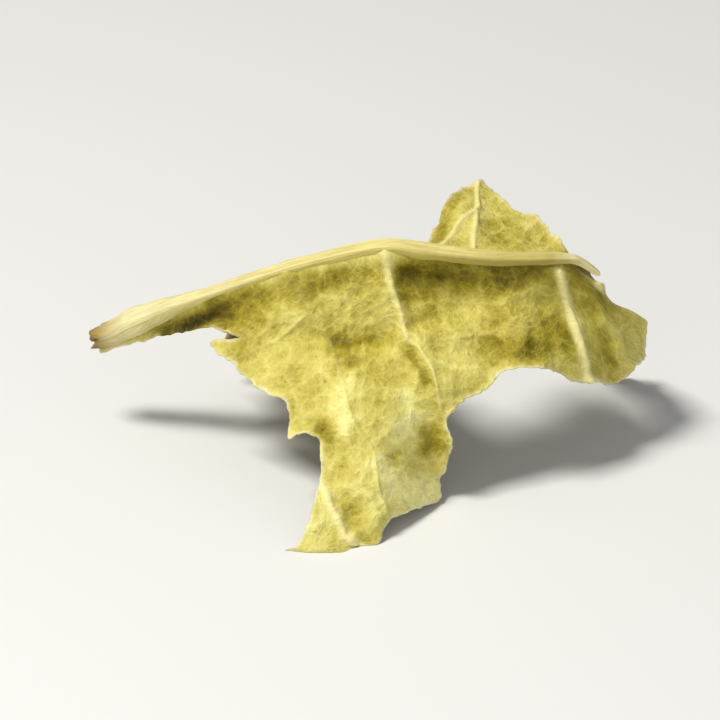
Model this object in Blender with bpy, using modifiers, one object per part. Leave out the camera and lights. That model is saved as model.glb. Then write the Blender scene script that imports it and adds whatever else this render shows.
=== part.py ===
"""A dried papaya leaf piece: one torn lobe of a papaya leaf that has dried and curled over its midrib.

The pale midrib runs along the ridge. The front half hangs down to the surface in one large toothed lobe,
with a short blunt lobe at the right. The back half has one small lobe that stands up behind the ridge, and
two that curl down to the surface, so the piece rests on the front lobe's lower edge and on the ends of
those two.

Blade, midrib and side veins grew as one body, so they are one closed solid. Its outer face is the leaf's
underside, with the veins raised on it. Sizes are in millimetres and become metres in the last step.
+X is to the right, +Y points away from the viewer, and +Z is up.
"""

import math

import bmesh
import bpy
import numpy as np
from mathutils.geometry import delaunay_2d_cdt

METRES_PER_MM = 0.001
NAME = "papaya_leaf_piece"

BLADE_THICKNESS = 0.6
VEIN_RAISE = 0.34
VEIN_HALF_WIDTH = 0.42
FEET_TRIM = 0.25
FOOTPRINT_CENTRE = (-0.05, 13.92)

# The front half is laid out as it looks to a viewer who looks down at this angle: x to the right, and the
# height seen above the lowest tip. The depth of each point is then given by the sections below.
VIEW_DOWN = math.radians(25)

# The ridge of the blade, which the midrib follows as far as its thin end: x, the height seen, and the depth
# behind the lowest tip
RIDGE = (
    (-17.2, 13.40, 19.2),
    (-14.6, 14.35, 18.1),
    (-11.5, 15.60, 16.7),
    (-7.0, 17.15, 15.2),
    (-2.6, 18.40, 14.0),
    (1.5, 19.00, 13.4),
    (3.3, 18.80, 13.3),
    (8.6, 18.30, 13.5),
    (11.5, 18.25, 14.1),
    (14.3, 16.60, 15.3),
    (15.0, 15.80, 15.7),
    (16.3, 15.30, 16.7),
    (17.6, 14.50, 18.0),
)

# The midrib runs a little above the ridge. It is thick at its torn end, and its thin end stands free of the
# blade: x, the height seen, the depth and the radius
MIDRIB = (
    (-17.2, 13.70, 19.0, 0.60),
    (-16.0, 13.95, 18.5, 0.78),
    (-14.6, 14.65, 17.9, 0.90),
    (-13.2, 15.20, 17.3, 0.78),
    (-11.5, 15.90, 16.5, 0.60),
    (-9.7, 16.45, 15.9, 0.50),
    (-7.0, 17.40, 15.0, 0.46),
    (-2.6, 18.65, 13.8, 0.45),
    (1.5, 19.28, 13.2, 0.50),
    (3.3, 19.03, 13.1, 0.52),
    (8.6, 18.55, 13.3, 0.47),
    (11.5, 18.58, 13.9, 0.38),
    (12.4, 18.55, 14.2, 0.31),
    (13.0, 18.35, 14.5, 0.27),
    (13.7, 17.90, 14.8, 0.24),
    (14.2, 17.55, 15.1, 0.20),
)

# Sections through the front half, from left to right: x, then the drop below the ridge as seen, and how far
# the blade has come forward there
FRONT_SECTIONS = (
    (-16.0, ((0, 0), (0.5, 0.40), (1.2, 0.60), (2.4, 1.1))),
    (-9.5, ((0, 0), (0.5, 0.42), (1.2, 0.65), (1.9, 1.0), (2.3, 1.5), (3.0, 2.2), (4.5, 3.3), (6.0, 4.6))),
    (-4.0, ((0, 0), (0.5, 0.42), (1.2, 0.70), (4.3, 1.8), (5.1, 2.5), (8.0, 5.3), (11.0, 8.1), (15.0, 11.4),
            (18.6, 13.7))),
    (0.5, ((0, 0), (0.5, 0.42), (1.2, 0.68), (4.6, 1.8), (5.4, 2.5), (8.0, 5.0), (11.0, 7.5), (15.0, 9.9),
           (18.6, 11.7))),
    (5.0, ((0, 0), (0.5, 0.42), (1.2, 0.48), (2.2, 0.60), (4.6, 1.8), (5.6, 2.5), (8.0, 4.3), (11.0, 5.1),
           (13.0, 5.2), (15.5, 5.2))),
    (12.0, ((0, 0), (0.5, 0.36), (1.2, 0.36), (2.2, 0.40), (3.6, 1.2), (5.0, 2.4), (7.2, 3.7))),
    (17.0, ((0, 0), (0.5, 0.30), (1.2, 0.35), (3.0, 0.5), (5.5, 0.3))),
)

# Sections through the back half, from left to right: x, then the distance behind the ridge along the blade,
# and how many degrees the blade slopes down there
BACK_SECTIONS = (
    (-17.0, ((0, 12), (1.5, 45), (4, 60))),
    (-9.5, ((0, 12), (1.5, 30), (6, 38), (12, 55), (18, 74))),
    (-5.0, ((0, 10), (1.5, 27), (5, 34), (10, 50), (15, 68), (18, 80))),
    (-1.0, ((0, 10), (1.5, 28), (5, 36), (10, 48), (15, 62), (18, 72))),
    (2.5, ((0, 14), (1.5, 36), (5, 48), (10, 60))),
    (3.6, ((0, 0), (1.5, -18), (5, -22), (8, -26))),
    (12.0, ((0, 0), (1.5, -18), (5, -20), (8, -22))),
    (13.3, ((0, 10), (1.5, 25), (5, 33), (10, 49), (15, 67), (18, 80))),
    (17.5, ((0, 12), (1.5, 30), (5, 42), (10, 58), (15, 72), (18, 80))),
)

# Shallow waves that drying left across the blade: height, length across, length along, and phase. They have
# their full height at this distance from the ridge.
WAVES = ((0.30, 6.4, 15.0, 0.4), (0.12, 3.7, 7.5, 2.1))
FULL_WAVES_AT = 2.5

# The edge of the front half as seen, from the right end of the ridge to the left end: x and height seen. It
# has a small tooth halfway down the big lobe's left side, and a tear above the larger tooth at the left.
FRONT_EDGE = (
    (17.3, 13.6), (17.0, 12.4), (16.5, 11.6), (15.9, 11.05), (15.1, 10.8), (13.5, 10.95), (12.5, 11.2),
    (12.0, 11.6), (11.1, 11.8), (9.0, 11.85), (7.9, 11.45), (7.1, 10.65), (6.3, 10.2), (5.5, 9.6),
    (4.75, 8.75), (5.25, 7.4), (4.8, 6.4), (4.45, 5.0), (4.4, 3.5), (2.9, 3.4), (2.1, 2.95), (1.35, 2.4),
    (0.85, 1.75), (0.6, 1.0), (0.1, 0.7), (-1.1, 0.6), (-1.5, 0.1), (-2.6, -0.05), (-4.1, 0.1), (-5.35, 0.35),
    (-4.4, 1.15), (-3.8, 2.05), (-3.5, 3.1), (-3.1, 4.3), (-2.9, 5.5), (-2.75, 6.55), (-3.0, 7.3),
    (-3.8, 7.95), (-4.95, 7.3), (-4.9, 8.3), (-5.0, 9.1), (-5.3, 9.85), (-6.3, 10.5), (-8.0, 11.65),
    (-9.75, 13.2), (-8.6, 13.5), (-7.7, 13.75), (-8.7, 13.95), (-9.9, 14.25), (-11.2, 14.15), (-12.6, 14.0),
    (-14.2, 13.5), (-15.8, 13.0), (-16.9, 12.75),
)

# The edge of the back half, from the left end of the ridge to the right end: x and distance behind the ridge
BACK_EDGE = (
    (-16.9, 0.7), (-15.2, 1.1), (-13.2, 1.4), (-11.4, 1.3), (-10.1, 2.3), (-9.2, 4.1), (-9.9, 6.0),
    (-8.4, 7.1), (-8.0, 9.4), (-9.1, 11.9), (-7.3, 12.9), (-7.0, 15.4), (-7.5, 17.7), (-5.7, 18.3),
    (-4.3, 17.1), (-3.0, 18.2), (-2.3, 15.8), (-1.2, 14.2), (0.2, 13.3), (-0.4, 11.1), (0.7, 9.2), (2.1, 7.9),
    (1.5, 5.5), (2.1, 3.3), (2.4, 1.7), (3.0, 0.9), (3.6, 1.5), (3.7, 2.5), (4.3, 3.9), (5.05, 5.2),
    (5.95, 6.6), (6.95, 7.8), (7.75, 6.8), (8.75, 5.4), (9.55, 5.0), (10.4, 4.8), (10.9, 4.0), (11.3, 3.1),
    (11.9, 2.0), (12.6, 1.0), (13.3, 2.2), (13.8, 4.2), (13.3, 6.2), (13.9, 8.4), (13.3, 10.2), (13.8, 12.0),
    (13.4, 13.6), (13.7, 15.5), (14.6, 16.2), (15.3, 14.3), (16.5, 12.3), (16.0, 10.2), (17.2, 8.6),
    (16.6, 6.4), (17.4, 4.4), (16.9, 2.4), (17.3, 0.8),
)

# Side veins that stand out on the underside: how strongly, from 0 to 1, and the line. The front ones are
# given as seen, the back ones by x and the distance behind the ridge.
FRONT_VEINS = (
    (1.0, ((1.1, 18.2), (1.4, 17.0), (1.8, 15.8), (2.1, 14.3))),
    (0.6, ((2.1, 14.3), (3.0, 12.8), (3.6, 11.6), (4.0, 10.2), (4.5, 9.1))),
    (0.5, ((2.1, 14.3), (0.0, 13.6), (-2.4, 13.5))),
    (1.0, ((11.5, 17.4), (11.9, 16.4), (12.4, 14.8), (12.95, 13.1), (13.45, 11.4))),
    (0.6, ((-4.8, 17.0), (-3.6, 15.3), (-2.4, 13.5), (-1.6, 11.0), (-1.1, 8.8), (0.3, 6.8), (0.5, 4.8),
           (1.1, 2.9))),
    (0.4, ((0.3, 6.8), (2.4, 6.1), (4.4, 6.4))),
    (0.4, ((-3.6, 15.3), (-5.4, 13.7), (-8.0, 12.4))),
    (0.5, ((-3.0, 4.6), (-2.5, 3.6), (-1.5, 2.0), (-0.6, 0.9))),
)
BACK_VEINS = (
    (0.9, ((4.2, 0.9), (4.8, 1.6), (5.95, 3.3), (6.65, 5.3), (6.9, 7.0))),
    (0.8, ((6.8, 0.9), (6.35, 2.2), (5.95, 3.3))),
    (0.9, ((-4.8, 0.9), (-5.1, 5.0), (-5.1, 10.0), (-5.6, 14.5), (-6.4, 17.6))),
    (0.5, ((-5.1, 5.0), (-7.2, 5.9), (-9.3, 6.1))),
    (0.5, ((-5.1, 7.6), (-2.0, 9.4), (-0.4, 12.6))),
    (0.8, ((14.2, 0.9), (14.8, 5.0), (14.9, 10.0), (14.6, 15.4))),
    (0.5, ((14.9, 8.2), (15.4, 9.8), (16.1, 11.8))),
)

# Spacing of the mesh, and how far the torn edge strays between its corners
GRID_SPACING = 1.15
EDGE_SPACING = 0.85
VEIN_SPACING = 0.95
CLEAR_OF_LINES = 0.42
CLEAR_OF_RIDGE = 0.65
RAGGED = 0.10
SEED = 7
LAYOUT_REACH = 20
MIDRIB_POINTS = 34
BACK_STEPS = 40

# The Delaunay triangulation is cut at the closed edge, and points nearer than this are one
INSIDE_THE_EDGE = 1
SAME_POINT = 0.0001

# The block that trims the feet is larger than the piece: its width and its height
CUTTER_WIDTH = 60
CUTTER_HEIGHT = 4

SHARP_FROM = math.radians(50)
BLADE_COLOUR = (0.50, 0.44, 0.13, 1.0)
RIB_COLOUR = (0.80, 0.74, 0.42, 1.0)
BLADE_ROUGHNESS = 0.6
RIB_ROUGHNESS = 0.55


def clear_scene():
    """Removes what the startup scene holds."""
    for obj in list(bpy.data.objects):
        bpy.data.objects.remove(obj, do_unlink=True)


def smooth_through(stations, values, at):
    """A smooth curve through the values at the stations, which never overshoots them.

    values holds one number for each station, or one row for each, with a number for each place in at. The
    slope at a station is the harmonic mean of the slopes on its two sides, or 0 where they differ in sign.
    """
    stations = np.asarray(stations, float)
    at = np.asarray(at, float)
    values = np.asarray(values, float)
    if values.ndim == 1:
        values = np.repeat(values[:, None], at.size, axis=1)
    rise = np.diff(values, axis=0) / np.diff(stations)[:, None]
    same_sign = rise[:-1] * rise[1:] > 0
    total = np.where(same_sign, rise[:-1] + rise[1:], 1)
    middle = np.where(same_sign, 2 * rise[:-1] * rise[1:] / total, 0)
    slopes = np.vstack([rise[:1], middle, rise[-1:]])
    k = np.clip(np.searchsorted(stations, at) - 1, 0, len(stations) - 2)
    step = stations[k + 1] - stations[k]
    t = np.clip((at - stations[k]) / step, 0, 1)
    point = np.arange(at.size)
    low, high = values[k, point], values[k + 1, point]
    low_slope, high_slope = slopes[k, point] * step, slopes[k + 1, point] * step
    curve = (
        (2 * t**3 - 3 * t**2 + 1) * low
        + (t**3 - 2 * t**2 + t) * low_slope
        + (3 * t**2 - 2 * t**3) * high
        + (t**3 - t**2) * high_slope
    )
    beyond = (at - np.clip(at, stations[0], stations[-1])) / step
    return curve + beyond * np.where(beyond < 0, low_slope, high_slope)


def height_of(seen, depth):
    """The height above the surface. The lowest edges reach a little below it, to be trimmed flat."""
    return (seen - depth * math.sin(VIEW_DOWN)) / math.cos(VIEW_DOWN) - FEET_TRIM


def ridge(x):
    """The depth and the height of the ridge at x, and the height seen."""
    stations, seen, depth = np.array(RIDGE).T
    seen = smooth_through(stations, seen, x)
    depth = smooth_through(stations, depth, x)
    return depth, height_of(seen, depth), seen


def through_sections(sections, x, along):
    """The value at x and at a distance along a section, smooth from section to section."""
    rows = []
    for _, knots in sections:
        places, values = zip(*knots)
        rows.append(smooth_through(places, values, along))
    return smooth_through([station for station, _ in sections], np.array(rows), x)


def wave_height(x, v):
    """Waves of the dried blade, which die out towards the stiff ridge."""
    total = np.zeros_like(x)
    for height, across, along, phase in WAVES:
        total += height * np.sin(2 * math.pi * (x / across + v / along) + phase)
    return total * np.clip(np.abs(v) / FULL_WAVES_AT, 0, 1) ** 2


def front_half(x, drop):
    """Points of the front half. Each keeps its place as seen, whatever its depth."""
    depth, _, seen = ridge(x)
    y = depth - through_sections(FRONT_SECTIONS, x, drop) - wave_height(x, -drop)
    return np.stack([x, y, height_of(seen - drop, y)], axis=1)


def back_half(x, distance):
    """Points of the back half, by adding up the slope in small steps away from the ridge."""
    y, z, _ = ridge(x)
    step = distance / BACK_STEPS
    for i in range(BACK_STEPS):
        slope = np.radians(through_sections(BACK_SECTIONS, x, (i + 0.5) * step))
        y = y + np.cos(slope) * step
        z = z - np.sin(slope) * step
    return np.stack([x, y, z + wave_height(x, distance)], axis=1)


def blade_points(flat):
    """Curls the flat layout of x and v: v is minus the drop in front, and the distance at the back."""
    x, v = flat[:, 0], flat[:, 1]
    front = front_half(x, np.maximum(-v, 0))
    back = back_half(x, np.maximum(v, 0))
    return np.where(v[:, None] < 0, front, back)


def as_seen(points):
    """The layout points (x, v) of the front half for x and the height seen."""
    points = np.array(points, float)
    return np.stack([points[:, 0], points[:, 1] - ridge(points[:, 0])[2]], axis=1)


def divided(points, spacing, closed=False):
    """The line with points added so that no step is longer than the spacing."""
    ends = np.vstack([points[1:], points[:1]]) if closed else points[1:]
    made = []
    for start, end in zip(points, ends):
        count = max(1, math.ceil(np.linalg.norm(end - start) / spacing))
        made += [start + (end - start) * i / count for i in range(count)]
    return np.array(made if closed else made + [points[-1]])


def distance_to(points, line):
    """The shortest distance from each point to a line of points."""
    starts, ends = line[:-1], line[1:]
    along = ends - starts
    gap = points[:, None] - starts[None]
    share = np.clip((gap * along).sum(2) / np.maximum((along**2).sum(1), 1e-12), 0, 1)
    return np.linalg.norm(gap - share[..., None] * along, axis=2).min(1)


def inside(points, loop):
    """True for each point inside the closed loop."""
    a, b = loop, np.roll(loop, -1, axis=0)
    px, py = points[:, :1], points[:, 1:]
    crosses = (a[:, 1] > py) != (b[:, 1] > py)
    rise = np.where(b[:, 1] == a[:, 1], 1e-12, b[:, 1] - a[:, 1])
    x_there = a[:, 0] + (py - a[:, 1]) * (b[:, 0] - a[:, 0]) / rise
    return (crosses & (px < x_there)).sum(1) % 2 == 1


def leaf_edge(rng):
    """The whole torn edge as a closed loop in the flat layout, a little ragged between its corners."""
    corners = np.vstack([as_seen(FRONT_EDGE), np.array(BACK_EDGE)])
    loop = divided(corners, EDGE_SPACING, closed=True)
    ragged = rng.uniform(-RAGGED, RAGGED, loop.shape)
    is_corner = (np.linalg.norm(loop[:, None] - corners[None], axis=2) < 1e-9).any(1)
    return loop + np.where(is_corner[:, None], 0, ragged)


def vein_lines():
    """The strength and the centre line of each side vein in the flat layout."""
    lines = [(strength, as_seen(line)) for strength, line in FRONT_VEINS]
    lines += [(strength, np.array(line)) for strength, line in BACK_VEINS]
    return [(strength, divided(line, VEIN_SPACING)) for strength, line in lines]


def beside(line, offset):
    """The line moved sideways."""
    along = np.gradient(line, axis=0)
    along /= np.linalg.norm(along, axis=1, keepdims=True)
    return line + offset * np.stack([-along[:, 1], along[:, 0]], axis=1)


def thinned(points, gap):
    """Drops each point that is nearer than the gap to one already kept."""
    kept = []
    for point in points:
        if all(np.linalg.norm(point - other) >= gap for other in kept):
            kept.append(point)
    return np.array(kept)


def inner_points(edge, fixed_lines, veins):
    """Points between the fixed lines: a row along each side of each vein, and an even triangular grid."""
    beside_veins = np.vstack([beside(line, side * VEIN_HALF_WIDTH) for _, line in veins for side in (-1, 1)])
    row_step = GRID_SPACING * math.sqrt(3) / 2
    grid = np.array([
        (x + GRID_SPACING / 2 * (row % 2), v)
        for row, v in enumerate(np.arange(-LAYOUT_REACH, LAYOUT_REACH, row_step))
        for x in np.arange(-LAYOUT_REACH, LAYOUT_REACH, GRID_SPACING)
    ])
    kept = []
    for points, clear in ((beside_veins, 0.8 * VEIN_HALF_WIDTH), (grid, CLEAR_OF_LINES)):
        gap = np.min([distance_to(points, line) for line in fixed_lines], axis=0)
        kept.append(points[inside(points, edge) & (gap > clear) & (abs(points[:, 1]) > CLEAR_OF_RIDGE)])
    return thinned(np.vstack(kept), CLEAR_OF_LINES)


def flat_layout(veins):
    """Triangles of the flat blade, with an edge along its outline, its ridge and each vein."""
    edge = leaf_edge(np.random.default_rng(SEED))
    ridge_x = np.arange(RIDGE[0][0] + EDGE_SPACING, RIDGE[-1][0] - EDGE_SPACING, EDGE_SPACING)
    ridge_line = np.stack([ridge_x, np.zeros_like(ridge_x)], axis=1)
    fixed_lines = [np.vstack([edge, edge[:1]]), ridge_line, *(line for _, line in veins)]

    points = np.vstack([*fixed_lines, inner_points(edge, fixed_lines, veins)])
    starts = np.cumsum([0] + [len(line) for line in fixed_lines])
    edges = [(i, i + 1) for first, past in zip(starts, starts[1:]) for i in range(first, past - 1)]
    made = delaunay_2d_cdt([tuple(point) for point in points], edges, [], INSIDE_THE_EDGE, SAME_POINT)
    return np.array([tuple(point) for point in made[0]]), [tuple(face) for face in made[2]]


def vein_share(flat, veins):
    """How far the underside is raised at each point: up to 1 on a vein and 0 beside it."""
    shares = [strength * (1 - distance_to(flat, line) / VEIN_HALF_WIDTH) for strength, line in veins]
    return np.maximum(np.max(shares, axis=0), 0)


def make_material(name, colour, roughness):
    """A dull material of one colour."""
    material = bpy.data.materials.new(name)
    material.use_nodes = True
    shader = material.node_tree.nodes["Principled BSDF"]
    shader.inputs["Base Color"].default_value = colour
    shader.inputs["Roughness"].default_value = roughness
    shader.inputs["Metallic"].default_value = 0.0
    return material


def evaluated_mesh(obj):
    """The mesh of the object with its modifiers applied."""
    bpy.context.view_layer.update()
    return bpy.data.meshes.new_from_object(obj.evaluated_get(bpy.context.evaluated_depsgraph_get()))


def make_blade(collection, material):
    """The blade: its underside curled from the flat layout, made thick, and raised along the veins."""
    veins = vein_lines()
    flat, faces = flat_layout(veins)
    mesh = bpy.data.meshes.new("blade")
    mesh.from_pydata([tuple(point) for point in blade_points(flat)], [], faces)
    mesh.materials.append(material)
    blade = bpy.data.objects.new("blade", mesh)
    collection.objects.link(blade)

    shell = blade.modifiers.new("thickness", "SOLIDIFY")
    shell.thickness = BLADE_THICKNESS
    shell.offset = -1
    shaped = evaluated_mesh(blade)
    # The underside's points come first in the thickened mesh, and the upper face's points after them.
    normals = [vertex.normal.copy() for vertex in mesh.vertices]
    for vertex, normal, share in zip(shaped.vertices, normals, vein_share(flat, veins)):
        vertex.co += normal * float(share * VEIN_RAISE)
    blade.modifiers.remove(shell)
    blade.data = shaped
    return blade


def make_midrib(collection, material):
    """The midrib as a tapering tube that sinks into the ridge."""
    x, seen, depth, radius = np.array(MIDRIB).T
    at = np.linspace(x[0], x[-1], MIDRIB_POINTS)
    seen, depth, radius = (smooth_through(x, values, at) for values in (seen, depth, radius))
    height = height_of(seen, depth)

    curve = bpy.data.curves.new("midrib", "CURVE")
    curve.dimensions = "3D"
    curve.bevel_depth = 1.0
    curve.bevel_resolution = 2
    curve.use_fill_caps = True
    spline = curve.splines.new("POLY")
    spline.points.add(MIDRIB_POINTS - 1)
    for point, place, thick in zip(spline.points, zip(at, depth, height), radius):
        point.co = (*place, 1)
        point.radius = thick
    tube = bpy.data.objects.new("midrib_curve", curve)
    collection.objects.link(tube)
    mesh = evaluated_mesh(tube)
    bpy.data.objects.remove(tube)
    work = bmesh.new()
    work.from_mesh(mesh)
    bmesh.ops.remove_doubles(work, verts=work.verts, dist=SAME_POINT)
    work.to_mesh(mesh)
    work.free()
    mesh.materials.clear()
    mesh.materials.append(material)
    midrib = bpy.data.objects.new("midrib", mesh)
    collection.objects.link(midrib)
    return midrib


def make_surface_cutter(collection):
    """A block under the surface, which trims the lowest edges to small flat feet."""
    bpy.ops.mesh.primitive_cube_add(size=1, location=(*FOOTPRINT_CENTRE, -CUTTER_HEIGHT / 2))
    cutter = bpy.context.object
    cutter.name = "surface_cutter"
    cutter.scale = (CUTTER_WIDTH, CUTTER_WIDTH, CUTTER_HEIGHT)
    for startup_collection in cutter.users_collection:
        startup_collection.objects.unlink(cutter)
    collection.objects.link(cutter)
    return cutter


def join_in_one(blade, midrib, cutter):
    """The blade with the midrib grown on, and with its feet trimmed flat."""
    for operation, other in (("UNION", midrib), ("DIFFERENCE", cutter)):
        modifier = blade.modifiers.new(operation.lower(), "BOOLEAN")
        modifier.operation = operation
        modifier.object = other
        modifier.solver = "EXACT"
    mesh = evaluated_mesh(blade)
    for obj in (blade, midrib, cutter):
        bpy.data.objects.remove(obj)
    return mesh


def to_part_frame(mesh):
    """Moves the footprint's centre to the origin, and turns millimetres to metres."""
    points = np.array([v.co for v in mesh.vertices], float)
    points[:, :2] -= FOOTPRINT_CENTRE
    mesh.vertices.foreach_set("co", (points * METRES_PER_MM).ravel())
    mesh.update()


def main():
    """Makes the blade, the midrib and the cutter, and joins them in the finished piece."""
    clear_scene()
    blade_material = make_material("dried_blade", BLADE_COLOUR, BLADE_ROUGHNESS)
    rib_material = make_material("dried_rib", RIB_COLOUR, RIB_ROUGHNESS)
    collection = bpy.data.collections.new(NAME)
    helpers = bpy.data.collections.new("helpers")
    for made in (collection, helpers):
        bpy.context.scene.collection.children.link(made)

    blade = make_blade(helpers, blade_material)
    midrib = make_midrib(helpers, rib_material)
    cutter = make_surface_cutter(helpers)
    mesh = join_in_one(blade, midrib, cutter)
    bpy.data.collections.remove(helpers)
    to_part_frame(mesh)
    mesh.name = NAME
    mesh.shade_smooth()
    mesh.set_sharp_from_angle(angle=SHARP_FROM)
    collection.objects.link(bpy.data.objects.new(NAME, mesh))


main()
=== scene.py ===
"""The looks of a dried papaya leaf piece: its torn, curled blade with raised veins, and its pale midrib.

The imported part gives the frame. The blade and the midrib are made again here at the same places with far
finer surfaces. Lengths are in millimetres until the last step of each mesh, which turns them to metres.
+X is to the right, +Y points away from the viewer, and +Z is up.
"""

import logging
import math
from dataclasses import dataclass, field
from enum import Enum

import bpy
import numpy as np
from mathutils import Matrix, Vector
from mathutils.geometry import delaunay_2d_cdt


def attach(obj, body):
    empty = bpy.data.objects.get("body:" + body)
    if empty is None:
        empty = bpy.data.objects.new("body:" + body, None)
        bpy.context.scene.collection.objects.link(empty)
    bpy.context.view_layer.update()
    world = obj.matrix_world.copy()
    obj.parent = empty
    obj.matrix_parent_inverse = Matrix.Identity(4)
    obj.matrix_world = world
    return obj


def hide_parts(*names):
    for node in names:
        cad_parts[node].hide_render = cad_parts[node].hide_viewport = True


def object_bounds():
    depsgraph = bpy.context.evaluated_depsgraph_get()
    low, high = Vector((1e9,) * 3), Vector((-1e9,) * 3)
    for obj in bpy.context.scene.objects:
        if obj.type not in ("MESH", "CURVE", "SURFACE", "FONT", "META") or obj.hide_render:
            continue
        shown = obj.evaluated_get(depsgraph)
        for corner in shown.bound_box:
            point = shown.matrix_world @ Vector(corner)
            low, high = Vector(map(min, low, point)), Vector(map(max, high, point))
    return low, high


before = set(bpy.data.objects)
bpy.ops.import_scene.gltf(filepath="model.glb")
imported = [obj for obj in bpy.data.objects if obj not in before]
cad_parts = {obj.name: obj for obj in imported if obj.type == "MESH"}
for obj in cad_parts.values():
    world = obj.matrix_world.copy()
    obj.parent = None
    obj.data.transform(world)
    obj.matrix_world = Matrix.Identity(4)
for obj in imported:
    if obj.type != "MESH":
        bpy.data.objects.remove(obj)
CAD_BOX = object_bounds()

LOG = logging.getLogger("dried_leaf")
METRES_PER_MM = 0.001
CAD_NODE = "papaya_leaf_piece"

# Points are handled in blocks of this many where each is compared with every part of a line
BLOCK = 4096
# Stands in for 0 where a length divides
TINY = 1e-9
# The triangulation fills only the inside of the edge, and takes points nearer than this for one
INSIDE_THE_EDGE = 1
SAME_POINT = 0.0001
# Most of what a noise node gives lies between these two values
NOISE_RANGE = (0.3, 0.7)

Array = np.ndarray
Line = tuple[tuple[float, float], ...]
Rows = tuple[tuple[float, ...], ...]
Sections = tuple[tuple[float, Line], ...]
Stops = tuple[tuple[float, str], ...]
Sockets = dict[str, bpy.types.NodeSocket]


class Side(Enum):
    """The parts of the blade's surface, in the order of its material slots."""

    UNDERSIDE = 0
    UPPER_FACE = 1
    TORN_RIM = 2


class Given(Enum):
    """How places on the blade are given: by x and the height seen, or by x and v of the flat layout."""

    AS_SEEN = 0
    FLAT = 1


def smooth_step(low: float, high: float, values: Array) -> Array:
    """Rises smoothly from 0 at low to 1 at high.

    Args:
        low: The value up to which the result is 0.
        high: The value from which it is 1. It may be less than low.
        values: The values to rate.

    Returns:
        3t^2 - 2t^3, where t runs from 0 to 1 between low and high.
    """
    t = np.clip((values - low) / (high - low), 0, 1)
    return t * t * (3 - 2 * t)


def plateau(corners: tuple[float, float, float, float], values: Array) -> Array:
    """Rises smoothly from 0 to 1 between the first two corners, and falls again between the last two."""
    return smooth_step(corners[0], corners[1], values) * smooth_step(corners[3], corners[2], values)


def smooth_through(stations: Array, values: Array, at: Array) -> Array:
    """A smooth curve through the values at the stations, which never overshoots them.

    Each piece is a cubic with a slope at each station that is the harmonic mean of the slopes on its two
    sides, or 0 where they differ in sign. Beyond the ends the curve goes on straight.

    Args:
        stations: The places of the values, rising.
        values: One number for each station, or one row for each, with a number for each place in at.
        at: The places to read.

    Returns:
        The value at each place.
    """
    stations, values, at = (np.asarray(numbers, float) for numbers in (stations, values, at))
    if values.ndim == 1:
        values = np.repeat(values[:, None], at.size, axis=1)
    rise = np.diff(values, axis=0) / np.diff(stations)[:, None]
    same_sign = rise[:-1] * rise[1:] > 0
    total = np.where(same_sign, rise[:-1] + rise[1:], 1)
    middle = np.where(same_sign, 2 * rise[:-1] * rise[1:] / total, 0)
    slopes = np.vstack([rise[:1], middle, rise[-1:]])
    k = np.clip(np.searchsorted(stations, at) - 1, 0, len(stations) - 2)
    step = stations[k + 1] - stations[k]
    t = np.clip((at - stations[k]) / step, 0, 1)
    point = np.arange(at.size)
    low, high = values[k, point], values[k + 1, point]
    low_slope, high_slope = slopes[k, point] * step, slopes[k + 1, point] * step
    curve = (
        (2 * t**3 - 3 * t**2 + 1) * low
        + (t**3 - 2 * t**2 + t) * low_slope
        + (3 * t**2 - 2 * t**3) * high
        + (t**3 - t**2) * high_slope
    )
    beyond = (at - np.clip(at, stations[0], stations[-1])) / step
    return curve + beyond * np.where(beyond < 0, low_slope, high_slope)


@dataclass(frozen=True)
class Nearness:
    """Where points lie beside a line.

    Fields are the distance in millimetres, the side (1 on the left as the line runs, -1 on the right), and
    the share of the line's length that comes before the nearest place on it.
    """

    distance: Array
    side: Array
    share: Array


def nearness(places: Array, line: Array | Line) -> Nearness:
    """Measures the places against a line of points.

    Each place is projected on every segment of the line, and the nearest projection counts.

    Args:
        places: The points, as rows of two numbers.
        line: The line's points, likewise.

    Returns:
        The distance, side and share of each place.
    """
    line = np.asarray(line, float)
    starts, along = line[:-1], np.diff(line, axis=0)
    lengths = np.maximum(np.linalg.norm(along, axis=1), TINY)
    before = np.concatenate([[0], np.cumsum(lengths)])
    found = []
    for block in np.array_split(places, max(1, len(places) // BLOCK)):
        gap = block[:, None] - starts[None]
        part = np.clip((gap * along).sum(2) / lengths**2, 0, 1)
        apart = np.linalg.norm(gap - part[..., None] * along, axis=2)
        k = apart.argmin(1)
        row = np.arange(len(block))
        turn = along[k, 0] * gap[row, k, 1] - along[k, 1] * gap[row, k, 0]
        share = (before[k] + part[row, k] * lengths[k]) / before[-1]
        found.append((apart[row, k], np.where(turn < 0, -1.0, 1.0), share))
    return Nearness(*(np.concatenate(column) for column in zip(*found)))


def inside(places: Array, loop: Array) -> Array:
    """Tells which places are inside the closed loop: a ray to the right crosses it an odd number of times.

    Args:
        places: The points, as rows of two numbers.
        loop: The loop's points, likewise.

    Returns:
        True for each place inside.
    """
    a, b = loop, np.roll(loop, -1, axis=0)
    rise = np.where(b[:, 1] == a[:, 1], TINY, b[:, 1] - a[:, 1])
    found = []
    for block in np.array_split(places, max(1, len(places) // BLOCK)):
        px, py = block[:, :1], block[:, 1:]
        crosses = (a[:, 1] > py) != (b[:, 1] > py)
        x_there = a[:, 0] + (py - a[:, 1]) * (b[:, 0] - a[:, 0]) / rise
        found.append((crosses & (px < x_there)).sum(1) % 2 == 1)
    return np.concatenate(found)


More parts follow.
